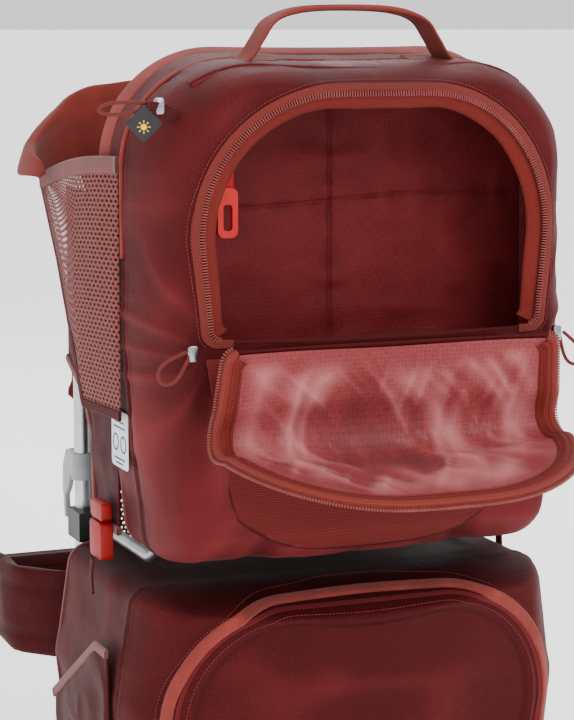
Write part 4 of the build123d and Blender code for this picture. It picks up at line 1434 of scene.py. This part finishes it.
def build_hardware():
    """Buckles, clips, hooks and other moulded parts with rounded edges."""
    hard = (("hip_buckle_plug", M_RED, 1.4), ("hip_buckle_socket", M_RED, 1.2),
            ("sternum_buckle", M_RED, 1.2), ("chest_buckle", M_RED, 1.4), ("side_sockets", M_RED, 1.2),
            ("side_plug_left", M_RED, 1.0), ("side_plug_right", M_RED, 1.0), ("key_hook", M_CLIP, 0.9),
            ("strap_hooks", M_GREY, 0.8), ("zip_sliders", M_CHROME, 0.9))
    for node, mat, width in hard:
        moulded_copy(node, node + "_moulding", mat, body_of(node), width)


TAG_AT = (-206, -178, 702)


def build_small_parts():
    """Label, tag, key strap, side pockets and the webbing under the side clips."""
    label = rounded_plate("care_tag", (-197.2, -77, 421.5), (0, 1, 0), (0, 0, 1), 46, 51, 1.0, 4, M_LABEL)
    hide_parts("care_label")
    build_label_print()
    tag = rounded_plate("shade_tag", TAG_AT, (0.6576, -0.2624, 0.7071), (-0.6576, 0.2624, 0.7071),
                        22, 22, 1.4, 2, M_BLACK)
    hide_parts("sun_tag")
    build_sun()
    tail = [(-160, -157, 699), (-174, -164, 706.5), (-189, -170.5, 712.5), (-203, -175.6, 714.0)]
    strap("shade_zip_tail", tail, 13, 2.0, (-0.37, -0.93, 0), M_DARKTAPE, "pack", step=3.0)
    key = [(-135, -181.5, 700), (-135, -181.8, 668), (-135, -181.0, 640)]
    strap("key_tape", key, 12, 2.6, (0, -1, 0), M_KEYTAPE, "pack", step=3.0,
          replaces=("key_strap",))
    for side, word in ((-1, "left"), (1, "right")):
        y = np.linspace(-92, 76, 80)
        low_z = np.interp(y, [-92, 70, 76], [124, 96, 150])
        high_z = np.interp(y, [-92, -60, 76], [232, 232, 151])
        low = np.stack([np.full_like(y, 214.0 * side), y, low_z], 1)
        high = np.stack([np.full_like(y, 217.0 * side), y, high_z], 1)
        names = ("side_pockets",) if side < 0 else ()
        ruled("side_pocket_" + word, low, high, M_DEEP, "pack", bow=4.0, wrinkle=1.6,
              seed=17 + side, out=(side, 0, 0), replaces=names, flip=side < 0, thick=2.0)
        path, up = even_pair(high, np.tile([side, 0, 0.02], (len(high), 1)), 4.0)
        sweep("side_pocket_binding_" + word, path, rounded(9, 3.6, 1.6), up, M_TAUPE, "pack")
        points = [(208 * side, y, z) for y, z in ((-25.4, 303), (-21.5, 294), (-20.5, 286), (-23, 270))]
        names = ("clip_webbing",) if side < 0 else ()
        strap("clip_tape_" + word, points, 10, 2.2, (side, 0.1, 0), M_DARKTAPE, "pack",
              replaces=names, step=3.0)


def rounded_plate(name, centre, right, up, width, height, thick, radius, mat):
    """A thin plate with rounded corners and softened edges."""
    right, up = unit(np.array(right, float)), unit(np.array(up, float))
    out = np.cross(right, up)
    outline = rounded(width, height, radius, 5)
    verts = []
    for inset, level in ((0.4, -thick / 2), (0, -thick / 4), (0, thick / 4), (0.4, thick / 2)):
        shape = outline * np.array([1 - 2 * inset / width, 1 - 2 * inset / height])
        verts.append(np.array(centre) + shape[:, :1] * right + shape[:, 1:] * up + out * level)
    k = len(outline)
    faces = grid_faces(4, k, closed_v=True)[:, ::-1].tolist()
    faces += [list(range(k))[::-1], [3 * k + j for j in range(k)]]
    verts = np.vstack(verts)
    uv = np.stack([(verts - centre) @ right, (verts - centre) @ up], 1)
    return make_mesh(name, verts, faces, mat, "pack", uv=uv, shade=False)


def build_label_print():
    """Dark rules and two round marks on the care label, with nothing to read in them."""
    x = -197.85
    for k, (z, wide) in enumerate(((437, 26), (432, 32), (404, 30), (400, 20))):
        rounded_plate("label_rule_%d" % k, (x, -77, z), (0, 1, 0), (0, 0, 1), wide, 1.6, 0.3, 0.7, M_INK)
    for k, y in enumerate((-88, -67)):
        ring = corner_path([(y - 7, 411), (y + 7, 411), (y + 7, 425), (y - 7, 425)], [6.9] * 4, 1.2)[:-1]
        path = np.stack([np.full(len(ring), x), ring[:, 0], ring[:, 1]], -1)
        sweep("label_ring_%d" % k, path, rounded(1.8, 0.4, 0.15), (-1, 0, 0), M_INK, "pack",
              closed=True)


def build_sun():
    """A small yellow sun with eight rays on the black tag: a plain generic mark."""
    origin = np.array(TAG_AT, float)
    right = unit(np.array((0.93, -0.37, 0)))
    up = np.array((0, 0, 1.0))
    out = np.cross(right, up)
    verts, faces = [], []

    def add(points):
        """One flat polygon, raised just off the tag."""
        start = len(verts)
        verts.extend(origin + p[0] * right + p[1] * up + out * 1.05 for p in points)
        faces.append(list(range(start, start + len(points))))
    add([(2.6 * math.cos(a), -2.5 + 2.6 * math.sin(a)) for a in np.linspace(0, TAU, 20, endpoint=False)])
    for k in range(8):
        a = TAU * k / 8
        c, s = math.cos(a), math.sin(a)
        add([(3.6 * c - 0.45 * s, -2.5 + 3.6 * s + 0.45 * c), (3.6 * c + 0.45 * s, -2.5 + 3.6 * s - 0.45 * c),
             (5.6 * c + 0.3 * s, -2.5 + 5.6 * s - 0.3 * c), (5.6 * c - 0.3 * s, -2.5 + 5.6 * s + 0.3 * c)])
    sun = make_mesh("tag_sun", verts, faces, M_SUN, "pack", shade=False)
    wall = sun.modifiers.new("wall", "SOLIDIFY")
    wall.thickness = 0.0003


LOOP_SHAPE = ((0, 0.22), (0.34, 0.62), (0.66, 0.86), (0.9, 0.62), (1, 0), (0.9, -0.62), (0.66, -0.86),
              (0.34, -0.62), (0, -0.22))


def build_pull(name, node, start, reach, half_width, slant):
    """A loop of cord on a zip slider, on the same route as its solid."""
    slant = math.radians(slant)
    along = np.array([math.cos(slant), 0, math.sin(slant)])
    aside = np.array([-math.sin(slant), 0, math.cos(slant)])
    route = [(np.array(start) + along * u * reach + aside * v * half_width + np.array([0, -3 * u, 0])) / 1000
             for u, v in LOOP_SHAPE]
    curve = bpy.data.curves.new(name, "CURVE")
    curve.dimensions = "3D"
    spline = curve.splines.new("NURBS")
    spline.points.add(len(route) - 1)
    for point, place in zip(spline.points, route):
        point.co = (*place, 1)
    spline.order_u = 3
    spline.use_endpoint_u = True
    curve.bevel_depth = 0.0016
    curve.bevel_resolution = 4
    curve.use_fill_caps = True
    curve.materials.append(M_CORD)
    piece = bpy.data.objects.new(name, curve)
    bpy.context.scene.collection.objects.link(piece)
    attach(piece, "pack")
    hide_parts(node)
    return piece, route


def build_pulls():
    """The three cord loops, each with its own reach and slant."""
    for name, node, start, reach, half, slant in (
            ("pull_cord_left", "pocket_pull_left", (-175.6, -197, 512), 34, 11, 220),
            ("pull_cord_right", "pocket_pull_right", (175.6, -197, 512), 32, 10, -60),
            ("pull_cord_shade", "shade_pull", (-194.6, -171, 717), 50, 6, 184)):
        piece, route = build_pull(name, node, start, reach, half, slant)


M_LABEL = fleece("label_white_cloth", (0.80, 0.80, 0.80), scale=2200, sheen=0.02)
M_INK = moulded("label_ink", (0.045, 0.09, 0.16), roughness=0.6)
M_SUN = moulded("sun_yellow", (0.80, 0.42, 0.02), roughness=0.5)
M_KEYTAPE = webbing("key_tape_red", (0.34, 0.008, 0.008), rib=0.0009)
M_CORD = webbing("pull_cord_braid", (0.20, 0.034, 0.028), rib=0.0012)

build_cockpit()
build_handle()
build_wearer_side()
build_hardware()
build_small_parts()
build_pulls()


# ---------------------------------------------------------------- floor, lights and camera
FLOOR_REACH = 900000


def build_stage():
    """A wide pale floor, a white sky and three soft lights."""
    reach = np.linspace(-FLOOR_REACH, FLOOR_REACH, 3)
    x, y = np.meshgrid(reach, reach, indexing="ij")
    p = np.stack([x, y, np.full_like(x, -0.2)], axis=-1)
    m = Nodes("stage_white")
    grain = m.noise(m.coords("Object"), 3.0, 2.0)
    base = m.ramp(grain, [(0.2, (0.86, 0.86, 0.86)), (0.8, (0.9, 0.9, 0.9))])
    white = m.set(Base_Color=base, Roughness=0.9, Emission_Color=(1.0, 1.0, 1.0), Emission_Strength=0.9)
    floor = grid_piece("stage_floor", p, white, None)
    world = bpy.data.worlds.new("studio")
    bpy.context.scene.world = world
    world.use_nodes = True
    world.node_tree.nodes["Background"].inputs[0].default_value = (1, 1, 1, 1)
    world.node_tree.nodes["Background"].inputs[1].default_value = 1.15
    for name, where, size, power in (
            ("key", (0.5, -3.2, 2.8), 2.2, 108),
            ("fill", (-2.8, -1.9, 1.8), 2.4, 20),
            ("back", (0.6, 2.4, 2.6), 2.0, 50)):
        light = bpy.data.lights.new(name, "AREA")
        light.energy = power
        light.size = size
        lamp = bpy.data.objects.new(name, light)
        lamp.location = where
        lamp.rotation_euler = (Vector((0, 0, 0.45)) - Vector(where)).to_track_quat("-Z", "Y").to_euler()
        bpy.context.scene.collection.objects.link(lamp)


def build_camera():
    """Eye level with the carrier's top, 22 degrees round from its rear, aimed a little down."""
    eye_at, target = Vector((-0.793, -1.943, 0.780)), Vector((-0.043, -0.088, 0.485))
    camera = bpy.data.cameras.new("camera")
    camera.sensor_fit = "VERTICAL"
    camera.sensor_height = 36
    camera.lens = 112.65
    eye = bpy.data.objects.new("camera", camera)
    eye.location = eye_at
    eye.rotation_euler = (target - eye_at).to_track_quat("-Z", "Y").to_euler()
    bpy.context.scene.collection.objects.link(eye)
    bpy.context.scene.camera = eye


build_stage()
build_camera()
